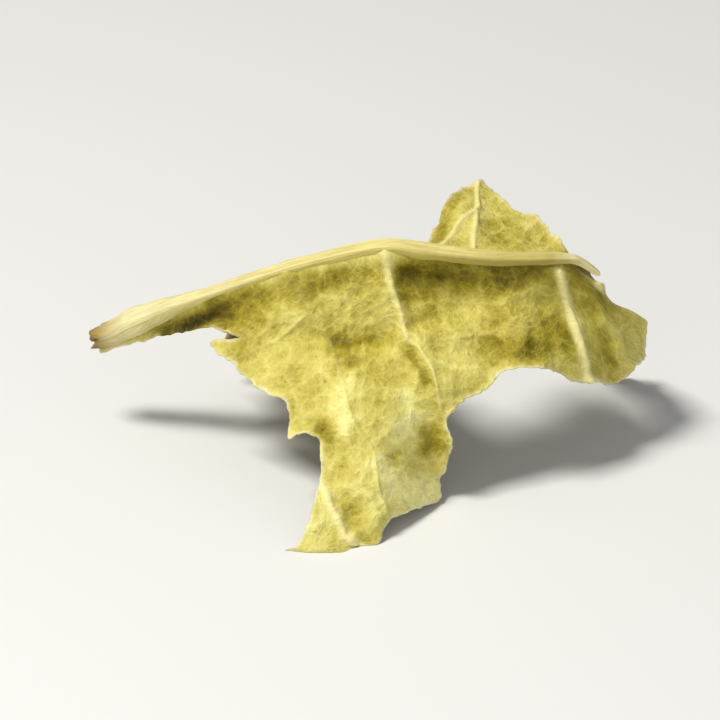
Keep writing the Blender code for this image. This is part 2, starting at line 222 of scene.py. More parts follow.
@dataclass(frozen=True)
class Noise:
    """Smooth random waves over the flat leaf.

    Fields are the length of the largest waves in millimetres, the number of octaves and the seed.
    """

    size: float
    octaves: int
    seed: int
    lattice: int = 64
    fade: float = 0.5

    def at(self, places: Array) -> Array:
        """Gradient noise of about -1 to 1.

        Each corner of a square lattice has a random direction. The value is the dot product of that
        direction and the way from the corner, blended between the four corners by 6t^5 - 15t^4 + 10t^3.
        Each further octave has half the size and the fade's share of the height.

        Args:
            places: The points, as rows of two numbers in millimetres.

        Returns:
            The height at each point.
        """
        total = np.zeros(len(places))
        for octave in range(self.octaves):
            angle = np.random.default_rng([self.seed, octave]).uniform(0, 2 * math.pi, (self.lattice,) * 2)
            spot = places * 2**octave / self.size + self.lattice / 2
            cell = np.floor(spot).astype(int)
            part = spot - cell
            blend = part**3 * (part * (part * 6 - 15) + 10)
            value = np.zeros(len(places))
            for i in (0, 1):
                for j in (0, 1):
                    turned = angle[(cell[:, 0] + i) % self.lattice, (cell[:, 1] + j) % self.lattice]
                    slope = np.cos(turned) * (part[:, 0] - i) + np.sin(turned) * (part[:, 1] - j)
                    weights = np.where((i, j), blend, 1 - blend)
                    value += slope * (weights[:, 0] * weights[:, 1])
            total += value * self.fade**octave
        return total * math.sqrt(2)


@dataclass(frozen=True)
class VeinNet:
    """The net of fine veins between the side veins, as the borders of cells around scattered points.

    cell is the mean cell width in millimetres, and stray how far the points stray from an even grid. clear
    is how clearly the lines show, from 0 to 1, and line_width their half width. The tissue sinks by sag at
    sag_width from a line. Cells are searched for the nearest border up to searched columns and rows away.
    """

    cell: float
    stray: float
    seed: int
    clear: float
    line_width: float
    sag: float
    sag_width: float
    lattice: int = 97
    searched: int = 2

    def border_distance(self, places: Array) -> Array:
        """The distance to the nearest border in millimetres.

        A border between two cells is the middle line between their points, so its distance is the projection
        of the way to their midpoint on the direction from one to the other.

        Args:
            places: The points, as rows of two numbers in millimetres.

        Returns:
            The distance of each point.
        """
        rng = np.random.default_rng(self.seed)
        strays = 0.5 + self.stray * rng.uniform(-0.5, 0.5, (self.lattice, self.lattice, 2))
        spot = places / self.cell + self.lattice / 2
        cell = np.floor(spot).astype(int)

        def centre(i: int, j: int) -> Array:
            """The way from each place to the point of the cell i columns and j rows on."""
            at = cell + (i, j)
            return at + strays[at[:, 0] % self.lattice, at[:, 1] % self.lattice] - spot

        steps = range(-self.searched, self.searched + 1)
        centres = np.stack([centre(i, j) for i in steps for j in steps])
        nearest = (centres**2).sum(2).argmin(0)
        own = centres[nearest, np.arange(len(places))]
        across = centres - own
        length = np.linalg.norm(across, axis=2)
        border = ((centres + own) / 2 * across).sum(2) / np.maximum(length, TINY)
        border[length < TINY] = self.lattice
        return border.min(0) * self.cell

    def drawn(self, places: Array) -> tuple[Array, Array]:
        """Draws the net.

        Args:
            places: The points, as rows of two numbers in millimetres.

        Returns:
            How clearly a line shows at each point, as e^-((d / width)^2), and how far the tissue sinks.
        """
        away = self.border_distance(places)
        lines = self.clear * np.exp(-((away / self.line_width) ** 2))
        return lines, self.sag * smooth_step(0, self.sag_width, away)


@dataclass(frozen=True)
class LeafForm:
    """How the flat blade curls over its ridge.

    The flat layout has x to the right and v, which is minus the drop below the ridge as seen in the front
    half, and the distance behind the ridge in the back half. The front half is laid out as it looks to a
    viewer who looks down by view_down, and each of its points keeps that place, whatever its depth.

    ridge_rows has x, the height seen and the depth. Each section has its x and then pairs: in front the
    drop as seen and how far the blade has come forward, and at the back the distance and the slope down in
    degrees. Each row of waves has the height, the lengths along x and along v, and the phase.
    """

    view_down: float = math.radians(25)
    feet_trim: float = 0.25
    footprint_centre: tuple[float, float] = (-0.05, 13.92)
    ridge_rows: Rows = (
        (-17.2, 13.40, 19.2),
        (-14.6, 14.35, 18.1),
        (-11.5, 15.60, 16.7),
        (-7.0, 17.15, 15.2),
        (-2.6, 18.40, 14.0),
        (1.5, 19.00, 13.4),
        (3.3, 18.80, 13.3),
        (8.6, 18.30, 13.5),
        (11.5, 18.25, 14.1),
        (14.3, 16.60, 15.3),
        (15.0, 15.80, 15.7),
        (16.3, 15.30, 16.7),
        (17.6, 14.50, 18.0),
    )
    front_sections: Sections = (
        (-16.0, ((0, 0), (0.5, 0.40), (1.2, 0.60), (2.4, 1.1))),
        (-9.5, ((0, 0), (0.5, 0.42), (1.2, 0.65), (1.9, 1.0), (2.3, 1.5), (3.0, 2.2), (4.5, 3.3),
                (6.0, 4.6))),
        (-4.0, ((0, 0), (0.5, 0.42), (1.2, 0.70), (4.3, 1.8), (5.1, 2.5), (8.0, 5.3), (11.0, 8.1),
                (15.0, 11.4), (18.6, 13.7))),
        (0.5, ((0, 0), (0.5, 0.42), (1.2, 0.68), (4.6, 1.8), (5.4, 2.5), (8.0, 5.0), (11.0, 7.5),
               (15.0, 9.9), (18.6, 11.7))),
        (5.0, ((0, 0), (0.5, 0.42), (1.2, 0.48), (2.2, 0.60), (4.6, 1.8), (5.6, 2.5), (8.0, 4.3),
               (11.0, 5.1), (13.0, 5.2), (15.5, 5.2))),
        (12.0, ((0, 0), (0.5, 0.36), (1.2, 0.36), (2.2, 0.40), (3.6, 1.2), (5.0, 2.4), (7.2, 3.7))),
        (17.0, ((0, 0), (0.5, 0.30), (1.2, 0.35), (3.0, 0.5), (5.5, 0.3))),
    )
    back_sections: Sections = (
        (-17.0, ((0, 12), (1.5, 45), (4, 60))),
        (-9.5, ((0, 12), (1.5, 30), (6, 38), (12, 55), (18, 74))),
        (-5.0, ((0, 10), (1.5, 27), (5, 34), (10, 50), (15, 68), (18, 80))),
        (-1.0, ((0, 10), (1.5, 28), (5, 36), (10, 48), (15, 62), (18, 72))),
        (2.5, ((0, 14), (1.5, 36), (5, 48), (10, 60))),
        (3.6, ((0, 0), (1.5, -18), (5, -22), (8, -26))),
        (12.0, ((0, 0), (1.5, -18), (5, -20), (8, -22))),
        (13.3, ((0, 10), (1.5, 25), (5, 33), (10, 49), (15, 67), (18, 80))),
        (17.5, ((0, 12), (1.5, 30), (5, 42), (10, 58), (15, 72), (18, 80))),
    )
    waves: Rows = ((0.30, 6.4, 15.0, 0.4), (0.12, 3.7, 7.5, 2.1))
    full_waves_at: float = 2.5
    back_steps: int = 40

    def height_of(self, seen: Array, depth: Array) -> Array:
        """The height above the surface of a point at a height seen: (seen - depth sin a) / cos a."""
        return (seen - depth * math.sin(self.view_down)) / math.cos(self.view_down) - self.feet_trim

    def ridge(self, x: Array) -> tuple[Array, Array]:
        """The height seen and the depth of the ridge at x."""
        stations, seen, depth = np.array(self.ridge_rows).T
        return smooth_through(stations, seen, x), smooth_through(stations, depth, x)

    def laid_out(self, given: Given, line: Line) -> Array:
        """Finds a line's place in the flat layout.

        Args:
            given: How the line's points are given.
            line: The points.

        Returns:
            The points, as rows of x and v.
        """
        points = np.array(line, float)
        if given is Given.AS_SEEN:
            points[:, 1] -= self.ridge(points[:, 0])[0]
        return points

    def as_seen(self, flat: Array) -> Array:
        """Each point of the front half, as rows of x and the height seen."""
        return np.stack([flat[:, 0], self.ridge(flat[:, 0])[0] + flat[:, 1]], axis=1)

    @staticmethod
    def through_sections(sections: Sections, x: Array, along: Array) -> Array:
        """The value at x and at a distance along a section, smooth from section to section."""
        rows = [smooth_through(*zip(*knots), along) for _, knots in sections]
        return smooth_through([station for station, _ in sections], np.array(rows), x)

    def wave_height(self, flat: Array) -> Array:
        """Sums sine waves over the blade, which die out with the square of the nearness to the ridge.

        Args:
            flat: The points of the layout, as rows of x and v.

        Returns:
            The height at each point.
        """
        total = np.zeros(len(flat))
        for height, across, along, phase in self.waves:
            total += height * np.sin(2 * math.pi * (flat[:, 0] / across + flat[:, 1] / along) + phase)
        return total * np.clip(np.abs(flat[:, 1]) / self.full_waves_at, 0, 1) ** 2

    def curled(self, flat: Array, lift: Array) -> Array:
        """Curls the flat layout.

        In front the section gives the depth, and the height follows from the height seen. At the back the
        slope is added up in small steps away from the ridge.

        Args:
            flat: The points of the layout, as rows of x and v.
            lift: How far each point of the front half is moved towards the viewer.

        Returns:
            The points in space, with the footprint's centre at the origin.
        """
        x, waves = flat[:, 0], self.wave_height(flat)
        ridge_seen, ridge_depth = self.ridge(x)

        drop = np.maximum(-flat[:, 1], 0)
        front_y = ridge_depth - self.through_sections(self.front_sections, x, drop) - waves - lift
        front = np.stack([x, front_y, self.height_of(ridge_seen - drop, front_y)], axis=1)

        distance = np.maximum(flat[:, 1], 0)
        y, z = ridge_depth, self.height_of(ridge_seen, ridge_depth)
        step = distance / self.back_steps
        for i in range(self.back_steps):
            slope = np.radians(self.through_sections(self.back_sections, x, (i + 0.5) * step))
            y = y + np.cos(slope) * step
            z = z - np.sin(slope) * step
        back = np.stack([x, y, z + waves], axis=1)

        points = np.where(flat[:, 1:] < 0, front, back)
        points[:, :2] -= self.footprint_centre
        return points


def kept_in_box(points: Array, floor_give: float = 0.3, side_give: float = 0.15) -> Array:
    """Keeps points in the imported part's box, and presses the lowest edges on the surface.

    A point nearer to a limit L than the give g, or past it, goes to L - g e^-((p - (L - g)) / g), mirrored
    for a lower limit.

    Args:
        points: The points in millimetres.
        floor_give: The give at the surface that the leaf lies on.
        side_give: The give at the box's other sides.

    Returns:
        The moved points.
    """
    low, high = np.array(CAD_BOX) / METRES_PER_MM
    give = np.array([side_give, side_give, floor_give])
    past_low = np.maximum(low + give - points, 0) / give
    points = np.where(past_low > 0, low + give * np.exp(-past_low), points)
    past_high = np.maximum(points - high + side_give, 0) / side_give
    return np.where(past_high > 0, high - side_give * np.exp(-past_high), points)


@dataclass(frozen=True)
class TornOutline:
    """The torn edge of the blade, from corner to corner.

    front has x and the height seen, from the right end of the ridge to the left end. back has x and the
    distance behind the ridge, from left to right. Each row of tears has the shortest and longest way between
    two small corners, and how far they stand off the line.
    """

    front: Line = (
        (17.3, 13.6), (17.0, 12.4), (16.5, 11.6), (15.9, 11.05), (15.1, 10.8), (13.5, 10.95), (12.5, 11.2),
        (12.0, 11.6), (11.1, 11.8), (9.0, 11.85), (7.9, 11.45), (7.1, 10.65), (6.3, 10.2), (5.5, 9.6),
        (4.75, 8.75), (5.25, 7.4), (4.8, 6.4), (4.45, 5.0), (4.4, 3.5), (2.9, 3.4), (2.1, 2.95),
        (1.35, 2.4), (0.85, 1.75), (0.6, 1.0), (0.1, 0.7), (-1.1, 0.6), (-1.5, 0.1), (-2.6, -0.05),
        (-4.1, 0.1), (-5.35, 0.35), (-4.4, 1.15), (-3.8, 2.05), (-3.5, 3.1), (-3.1, 4.3), (-2.9, 5.5),
        (-2.75, 6.55), (-3.0, 7.3), (-3.8, 7.95), (-4.95, 7.3), (-4.9, 8.3), (-5.0, 9.1), (-5.3, 9.85),
        (-6.3, 10.5), (-8.0, 11.65), (-9.75, 13.2), (-8.6, 13.5), (-7.7, 13.75), (-8.7, 13.95),
        (-9.9, 14.25), (-11.2, 14.15), (-12.6, 14.0), (-14.2, 13.5), (-15.8, 13.0), (-16.9, 12.75),
    )
    back: Line = (
        (-16.9, 0.7), (-15.2, 1.1), (-13.2, 1.4), (-11.4, 1.3), (-10.1, 2.3), (-9.2, 4.1), (-9.9, 6.0),
        (-8.4, 7.1), (-8.0, 9.4), (-9.1, 11.9), (-7.3, 12.9), (-7.0, 15.4), (-7.5, 17.7), (-5.7, 18.3),
        (-4.3, 17.1), (-3.0, 18.2), (-2.3, 15.8), (-1.2, 14.2), (0.2, 13.3), (-0.4, 11.1), (0.7, 9.2),
        (2.1, 7.9), (1.5, 5.5), (2.1, 3.3), (2.4, 1.7), (3.0, 0.9), (3.6, 1.5), (3.7, 2.5), (4.3, 3.9),
        (5.05, 5.2), (5.95, 6.6), (6.95, 7.8), (7.75, 6.8), (8.75, 5.4), (9.55, 5.0), (10.4, 4.8),
        (10.9, 4.0), (11.3, 3.1), (11.9, 2.0), (12.6, 1.0), (13.3, 2.2), (13.8, 4.2), (13.3, 6.2),
        (13.9, 8.4), (13.3, 10.2), (13.8, 12.0), (13.4, 13.6), (13.7, 15.5), (14.6, 16.2), (15.3, 14.3),
        (16.5, 12.3), (16.0, 10.2), (17.2, 8.6), (16.6, 6.4), (17.4, 4.4), (16.9, 2.4), (17.3, 0.8),
    )
    corner_share: float = 0.16
    corner_cuts: int = 2
    step: float = 0.1
    tears: Rows = ((0.9, 2.2, 0.11), (0.3, 0.8, 0.085), (0.12, 0.3, 0.05))
    seed: int = 21

    def loop(self, form: LeafForm) -> Array:
        """The closed edge in the flat layout.

        Each corner is cut at a share of its sides, a few times over, which rounds it a little. The loop is
        divided evenly, and moved across itself by broken lines through random heights at random spacings, as
        fibres tear.

        Args:
            form: The form that turns heights seen to the layout.

        Returns:
            The points of the loop.
        """
        corners = np.vstack([form.laid_out(Given.AS_SEEN, self.front), form.laid_out(Given.FLAT, self.back)])
        for _ in range(self.corner_cuts):
            after = np.roll(corners, -1, axis=0)
            share = self.corner_share
            cut = [corners * (1 - share) + after * share, corners * share + after * (1 - share)]
            corners = np.stack(cut, axis=1).reshape(-1, 2)
        closed = np.vstack([corners, corners[:1]])
        run = np.concatenate([[0], np.cumsum(np.linalg.norm(np.diff(closed, axis=0), axis=1))])
        count = round(run[-1] / self.step)
        at = np.arange(count) * run[-1] / count
        even = np.stack([np.interp(at, run, closed[:, k]) for k in (0, 1)], axis=1)

        along = np.roll(even, -1, axis=0) - np.roll(even, 1, axis=0)
        across = np.stack([-along[:, 1], along[:, 0]], axis=1) / np.linalg.norm(along, axis=1, keepdims=True)
        rng = np.random.default_rng(self.seed)
        wander = np.zeros(count)
        for shortest, longest, height in self.tears:
            stations = np.cumsum(rng.uniform(shortest, longest, math.ceil(run[-1] / shortest)))
            heights = rng.uniform(-height, height, len(stations))
            on_loop = stations < run[-1]
            wander += np.interp(at, stations[on_loop], heights[on_loop], period=run[-1])
        return even + across * wander[:, None]


@dataclass(frozen=True)
class Dimple:
    """A soft hollow in the front half, or a swelling if the depth is negative, placed as seen."""

    x: float
    height: float
    half_width: float
    half_height: float
    depth: float

    def lift(self, seen: Array) -> Array:
        """Minus the depth times e^-(r^2), where r is 1 at the half width and half height."""
        from_middle = (seen - (self.x, self.height)) / (self.half_width, self.half_height)
        return -self.depth * np.exp(-(from_middle**2).sum(1))


@dataclass(frozen=True)
class Fold:
    """A fold of the front half along a line as seen, or a crease if the height is negative.

    left and right are how far the flanks on the two sides of the line reach. On a line that runs down, left
    is the viewer's right.
    """

    line: Line
    height: float
    left: float
    right: float
    crest: float = 0.08
    fade: float = 0.22

    def lift(self, seen: Array) -> Array:
        """The height times e^(-d / reach), with the crest rounded and both ends faded out.

        Args:
            seen: The points, as rows of x and the height seen.

        Returns:
            How far the fold moves each point towards the viewer.
        """
        near = nearness(seen, self.line)
        reach = np.where(near.side > 0, self.left, self.right)
        away = np.sqrt(near.distance**2 + self.crest**2) - self.crest
        return self.height * np.exp(-away / reach) * plateau((0, self.fade, 1 - self.fade, 1), near.share)


@dataclass(frozen=True)
class Step:
    """A step of the front half along a line as seen that runs down: the viewer's right of it is set back."""

    line: Line
    depth: float
    width: float
    reach: float
    fade: float = 0.2

    def lift(self, seen: Array) -> Array:
        """Falls to minus the depth across the width on the right, and comes back as e^-((d / reach)^2).

        Args:
            seen: The points, as rows of x and the height seen.

        Returns:
            How far the step moves each point towards the viewer.
        """
        near = nearness(seen, self.line)
        away = np.where(near.side > 0, near.distance, 0)
        set_back = smooth_step(0, self.width, away) * np.exp(-((away / self.reach) ** 2))
        return -self.depth * set_back * plateau((0, self.fade, 1 - self.fade, 1), near.share)


@dataclass(frozen=True)
class SideVein:
    """A vein that stands out on the underside.

    height is how far it stands out, half_width its half width at its start, pale how much paler than the
    blade it is, from 0 to 1, and end_width its width at its end as a share of that at its start. foot is the
    share of the height that belongs to a wide foot, and foot_width, colour_to and colour_from are in half
    widths: the foot's reach, and where the vein's colour ends and is in full.
    """

    line: Line
    height: float
    half_width: float
    pale: float
    end_width: float = 0.75
    given: Given = Given.AS_SEEN
    foot: float = 0.25
    foot_width: float = 2.2
    colour_to: float = 1.4
    colour_from: float = 0.35

    def raised(self, flat: Array, form: LeafForm) -> tuple[Array, Array]:
        """How far the vein raises the underside at each point, and how much of its colour shows there.

        Across the vein the height is cos^2 of the distance over the width, and a part of it a wide foot. The
        colour fades from the vein's middle past its flanks.

        Args:
            flat: The points of the layout.
            form: The form that turns heights seen to the layout.

        Returns:
            The heights in millimetres, and the shares of colour from 0 to 1.
        """
        near = nearness(flat, form.laid_out(self.given, self.line))
        away = near.distance / (self.half_width * (1 + (self.end_width - 1) * near.share))
        round_top = np.cos(np.clip(away, 0, 1) * math.pi / 2) ** 2
        body = (1 - self.foot) * round_top + self.foot * np.exp(-((away / self.foot_width) ** 2))
        return self.height * body, self.pale * smooth_step(self.colour_to, self.colour_from, away)


@dataclass(frozen=True)
class StainAndPaintedShading:
    """A soft streak of the underside, paler or more olive if the amount is negative: stained patches and
    painted light and shade.

    It lies along the line, and start and end are how far it reaches from the line's first and last point.
    """

    line: Line
    start: float
    end: float
    amount: float
    given: Given = Given.AS_SEEN

    def tone(self, flat: Array, form: LeafForm) -> Array:
        """The amount times e^-((d / reach)^2), on the half of the blade that the line lies on.

        Args:
            flat: The points of the layout.
            form: The form that turns heights seen to the layout.

        Returns:
            The change of tone at each point.
        """
        line = form.laid_out(self.given, self.line)
        near = nearness(flat, line)
        reach = self.start + (self.end - self.start) * near.share
        own_half = (flat[:, 1] < 0) == (line[:, 1].mean() < 0)
        return np.where(own_half, self.amount * np.exp(-((near.distance / reach) ** 2)), 0)


def linear(hex_colour: str) -> tuple[float, float, float, float]:
    """Turns an sRGB hex colour such as #d0c466 to the linear colour that shaders take."""
    parts = [int(hex_colour[i : i + 2], 16) / 255 for i in (1, 3, 5)]
    return (*(c / 12.92 if c <= 0.04045 else ((c + 0.055) / 1.055) ** 2.4 for c in parts), 1.0)


# The Mix node's inputs and output for colours, which can only be told apart by number
SHARE, UNDER, OVER, MIXED = 0, 6, 7, 2


def add_node(
    tree: bpy.types.NodeTree, kind: str, given: dict, output: str | int = 0
) -> bpy.types.NodeSocket:
    """Adds a node with its settings and links.

    Args:
        tree: The node tree.
        kind: The node's type, such as ShaderNodeBump.
        given: For each setting, input name or input number, its value, or the socket that feeds it. For a
            colour ramp, stops gives pairs of a rising place and an sRGB hex colour.
        output: The name or number of the output to return.

    Returns:
        The output's socket.
    """
    node = tree.nodes.new(kind)
    for name, value in given.items():
        if name == "stops":
            elements = node.color_ramp.elements
            elements[0].position, elements[-1].position = value[0][0], value[-1][0]
            for place, _ in value[1:-1]:
                elements.new(place)
            for element, (_, colour) in zip(elements, value):
                element.color = linear(colour)
        elif isinstance(value, bpy.types.NodeSocket):
            tree.links.new(value, node.inputs[name])
        elif isinstance(name, str) and name in node.bl_rna.properties:
            setattr(node, name, value)
        else:
            node.inputs[name].default_value = value
    return node.outputs[output]


@dataclass(frozen=True)
class DriedTissue:
    """What the finishes share: a soft gloss, a little light that spreads inside, and a fine relief.

    roughness has the least and greatest roughness, and rough_from the values of the noise that give them.
    detail is the number of octaves of the finish's noises.
    """

    name: str
    ior: float = 1.34
    glow: float = 0.3
    glow_colour_reach: tuple[float, float, float] = (1.0, 0.85, 0.3)
    glow_mm: float = 0.4
    bump_mm: float = 0.05
    bump_strength: float = 1.0
    roughness: tuple[float, float] = (0.5, 0.68)
    rough_from: tuple[float, float] = NOISE_RANGE
    detail: float = 3.0

    def surface(self, tree: bpy.types.NodeTree) -> Sockets:
        """Makes the nodes, and returns the socket for each of the shader's inputs that they feed."""
        raise NotImplementedError

    def relief(
        self, tree: bpy.types.NodeTree, height: bpy.types.NodeSocket, noise: bpy.types.NodeSocket
    ) -> Sockets:
        """Adds the bump, and a roughness that wanders.

        Args:
            tree: The material's nodes.
            height: The height of the relief, as a share of bump_mm.
            noise: The noise that lays out the roughness.

        Returns:
            The sockets for the shader's normal and roughness.
        """
        given = {"Strength": self.bump_strength, "Distance": self.bump_mm * METRES_PER_MM, "Height": height}
        bump = add_node(tree, "ShaderNodeBump", given)
        (low, high), (least, most) = self.rough_from, self.roughness
        given = {"Value": noise, "From Min": low, "From Max": high, "To Min": least, "To Max": most}
        return {"Normal": bump, "Roughness": add_node(tree, "ShaderNodeMapRange", given)}

    def material(self) -> bpy.types.Material:
        """Builds the material.

        Returns:
            The material, with the shader's constants and the finish's nodes.
        """
        material = bpy.data.materials.new(self.name)
        material.use_nodes = True
        tree = material.node_tree
        shader = tree.nodes["Principled BSDF"]
        shader.inputs["IOR"].default_value = self.ior
        shader.inputs["Subsurface Weight"].default_value = self.glow
        shader.inputs["Subsurface Radius"].default_value = self.glow_colour_reach
        shader.inputs["Subsurface Scale"].default_value = self.glow_mm * METRES_PER_MM
        for name, socket in self.surface(tree).items():
            tree.links.new(socket, shader.inputs[name])
        return material


@dataclass(frozen=True)
class PaintedNet:
    """A net of veins too fine for the mesh.

    Fields are the width of its cells and of its lines, how much paler the lines are, and how high they stand
    as a share of the bump.
    """

    cell_mm: float
    line_mm: float
    paler: float
    raised: float


@dataclass(frozen=True)
class LeafUnderside(DriedTissue):
    """Underside of a papaya leaf dried in the air: a dull straw yellow with an olive cast.

    The eye sees soft patches of straw and olive, raised cream veins with a net of ever finer ones between
    them, crumpled tissue inside the net, and a cream line along tears. Each field that ends in _tone is how
    far its noise or net changes the tone.
    """

    name: str = "air_dried_leaf_underside"
    bump_strength: float = 0.8
    tones: Stops = (
        (0.0, "#3c3300"),
        (0.2, "#746608"),
        (0.42, "#a5972e"),
        (0.62, "#cabe5c"),
        (0.8, "#dfd57a"),
        (1.0, "#f3eb9c"),
    )
    vein: str = "#f3e9a2"
    torn: str = "#efe7b9"
    speck: str = "#6b5a20"
    patch_mm: float = 2.4
    patch_tone: float = 0.12
    mottle_mm: float = 0.85
    mottle_tone: float = 0.07
    grain_mm: float = 0.22
    grain_tone: float = 0.05
    crinkle_mm: float = 0.55
    crinkle_bump: float = 1.6
    net_tone: float = 0.11
    painted_nets: tuple[PaintedNet, ...] = (
        PaintedNet(0.62, 0.07, 0.07, 0.5),
        PaintedNet(0.27, 0.05, 0.03, 0.3),
    )
    stray_mm: float = 0.3
    stray_size_mm: float = 0.62
    speck_mm: float = 0.5
    speck_range: tuple[float, float] = (0.66, 0.74)
    speck_share: float = 0.5

    def surface(self, tree: bpy.types.NodeTree) -> Sockets:
        """Paints by the blade's attributes flat, tone, net, vein and edge.

        Args:
            tree: The material's nodes.

        Returns:
            The sockets for the shader's base colour, normal and roughness.
        """
        flat = add_node(tree, "ShaderNodeAttribute", {"attribute_name": "flat"}, "Vector")
        # The attribute tone carries stained patches and the blade's painted light and shade
        tone, net, vein, edge = (
            add_node(tree, "ShaderNodeAttribute", {"attribute_name": name}, "Fac")
            for name in ("tone", "net", "vein", "edge")
        )
        patches, mottle, grain, crinkles, specks = (
            add_node(tree, "ShaderNodeTexNoise", {"Vector": flat, "Scale": 1 / size, "Detail": self.detail})
            for size in (self.patch_mm, self.mottle_mm, self.grain_mm, self.crinkle_mm, self.speck_mm)
        )
        noises = ((patches, self.patch_tone), (mottle, self.mottle_tone), (grain, self.grain_tone))
        low, high = NOISE_RANGE
        for noise, reach in noises:
            given = {"Value": noise, "From Min": low, "From Max": high, "To Min": -reach, "To Max": reach}
            change = add_node(tree, "ShaderNodeMapRange", given)
            tone = add_node(tree, "ShaderNodeMath", {"operation": "ADD", 0: tone, 1: change})

        # The painted nets' lines wander with a noise of their own
        given = {"Vector": flat, "Scale": 1 / self.stray_size_mm}
        strays = add_node(tree, "ShaderNodeTexNoise", given, "Color")
        given = {"operation": "MULTIPLY_ADD", 0: strays, 1: (self.stray_mm, self.stray_mm, 0.0), 2: flat}
        wandering = add_node(tree, "ShaderNodeVectorMath", given)
        lines = [(net, self.net_tone)]
        heights = [(crinkles, self.crinkle_bump)]
        for fine in self.painted_nets:
            given = {"feature": "DISTANCE_TO_EDGE", "Vector": wandering, "Scale": 1 / fine.cell_mm}
            border = add_node(tree, "ShaderNodeTexVoronoi", given, "Distance")
            given = {"Value": border, "From Max": fine.line_mm / fine.cell_mm, "To Min": 1.0, "To Max": 0.0}
            line = add_node(tree, "ShaderNodeMapRange", given)
            lines.append((line, fine.paler))
            heights.append((line, fine.raised))
        for line, paler in lines:
            given = {"operation": "MULTIPLY_ADD", 0: line, 1: paler, 2: tone}
            tone = add_node(tree, "ShaderNodeMath", given)

        colour = add_node(tree, "ShaderNodeValToRGB", {"Fac": tone, "stops": self.tones})
        low, high = self.speck_range
        given = {"Value": specks, "From Min": low, "From Max": high, "To Max": self.speck_share}
        speckled = add_node(tree, "ShaderNodeMapRange", given)
        for share, paint in ((speckled, self.speck), (vein, self.vein), (edge, self.torn)):
            given = {"data_type": "RGBA", SHARE: share, UNDER: colour, OVER: linear(paint)}
            colour = add_node(tree, "ShaderNodeMix", given, MIXED)
        height = grain
        for part, raised in heights:
            given = {"operation": "MULTIPLY_ADD", 0: part, 1: raised, 2: height}
            height = add_node(tree, "ShaderNodeMath", given)
        return {"Base Color": colour, **self.relief(tree, height, patches)}


@dataclass(frozen=True)
class LeafUpperFace(DriedTissue):
    """Upper face of a papaya leaf dried in the air: dull dark olive, mottled with a dusty grey green.

    The eye sees a darker face inside the curl, with a paler net of sunken veins. The shares are how much of
    the veins' and the torn line's colour shows.
    """

    name: str = "air_dried_leaf_upper_face"
    glow: float = 0.2
    bump_mm: float = 0.04
    bump_strength: float = 0.8
    roughness: tuple[float, float] = (0.6, 0.8)
    detail: float = 5.0
    tones: Stops = (
        (0.0, "#463c12"),
        (0.35, "#62571d"),
        (0.62, "#7f7638"),
        (1.0, "#a39c62"),
    )
    vein: str = "#b5aa6c"
    torn: str = "#e6dba6"
    patch_mm: float = 1.7
    grain_mm: float = 0.28
    net_share: float = 0.45
    vein_share: float = 0.7
    torn_share: float = 0.8

    def surface(self, tree: bpy.types.NodeTree) -> Sockets:
        """Paints by the blade's attributes flat, net, vein and edge.

        Args:
            tree: The material's nodes.

        Returns:
            The sockets for the shader's base colour, normal and roughness.
        """
        flat = add_node(tree, "ShaderNodeAttribute", {"attribute_name": "flat"}, "Vector")
        patches, grain = (
            add_node(tree, "ShaderNodeTexNoise", {"Vector": flat, "Scale": 1 / size, "Detail": self.detail})
            for size in (self.patch_mm, self.grain_mm)
        )
        low, high = NOISE_RANGE
        tone = add_node(tree, "ShaderNodeMapRange", {"Value": patches, "From Min": low, "From Max": high})
        colour = add_node(tree, "ShaderNodeValToRGB", {"Fac": tone, "stops": self.tones})
        layers = (("net", self.net_share, self.vein), ("vein", self.vein_share, self.vein),
                  ("edge", self.torn_share, self.torn))
        for name, most, paint in layers:
            share = add_node(tree, "ShaderNodeAttribute", {"attribute_name": name}, "Fac")
            share = add_node(tree, "ShaderNodeMath", {"operation": "MULTIPLY", 0: share, 1: most})
            given = {"data_type": "RGBA", SHARE: share, UNDER: colour, OVER: linear(paint)}
            colour = add_node(tree, "ShaderNodeMix", given, MIXED)
        return {"Base Color": colour, **self.relief(tree, grain, patches)}


@dataclass(frozen=True)
class TornRim(DriedTissue):
    """Torn leaf tissue: dry cream fibres along the edge, duller than the veins.

    The eye sees a pale broken line, which turns olive where the blade beside it is, painted shade included.
    olive_range has the tones of the blade at which the rim is olive and at which it is cream.
    """

    name: str = "torn_leaf_rim"
    bump_mm: float = 0.04
    roughness: tuple[float, float] = (0.65, 0.85)
    rough_from: tuple[float, float] = (0.0, 1.0)
    detail: float = 4.0
    tones: Stops = ((0.3, "#b3a663"), (0.5, "#dcd198"), (0.7, "#efe7bd"))
    olive: str = "#6f6220"
    olive_range: tuple[float, float] = (0.1, 0.5)
    fibre_mm: float = 0.25

    def surface(self, tree: bpy.types.NodeTree) -> Sockets:
        """Paints by noise over the blade's attribute flat, and by its attribute tone.

        Args:
            tree: The material's nodes.

        Returns:
            The sockets for the shader's base colour, normal and roughness.
        """
        flat = add_node(tree, "ShaderNodeAttribute", {"attribute_name": "flat"}, "Vector")
        tone = add_node(tree, "ShaderNodeAttribute", {"attribute_name": "tone"}, "Fac")
        given = {"Vector": flat, "Scale": 1 / self.fibre_mm, "Detail": self.detail}
        fibres = add_node(tree, "ShaderNodeTexNoise", given)
        pale = add_node(tree, "ShaderNodeValToRGB", {"Fac": fibres, "stops": self.tones})
        low, high = self.olive_range
        share = add_node(tree, "ShaderNodeMapRange", {"Value": tone, "From Min": low, "From Max": high})
        given = {"data_type": "RGBA", SHARE: share, UNDER: linear(self.olive), OVER: pale}
        colour = add_node(tree, "ShaderNodeMix", given, MIXED)
        return {"Base Color": colour, **self.relief(tree, fibres, fibres)}


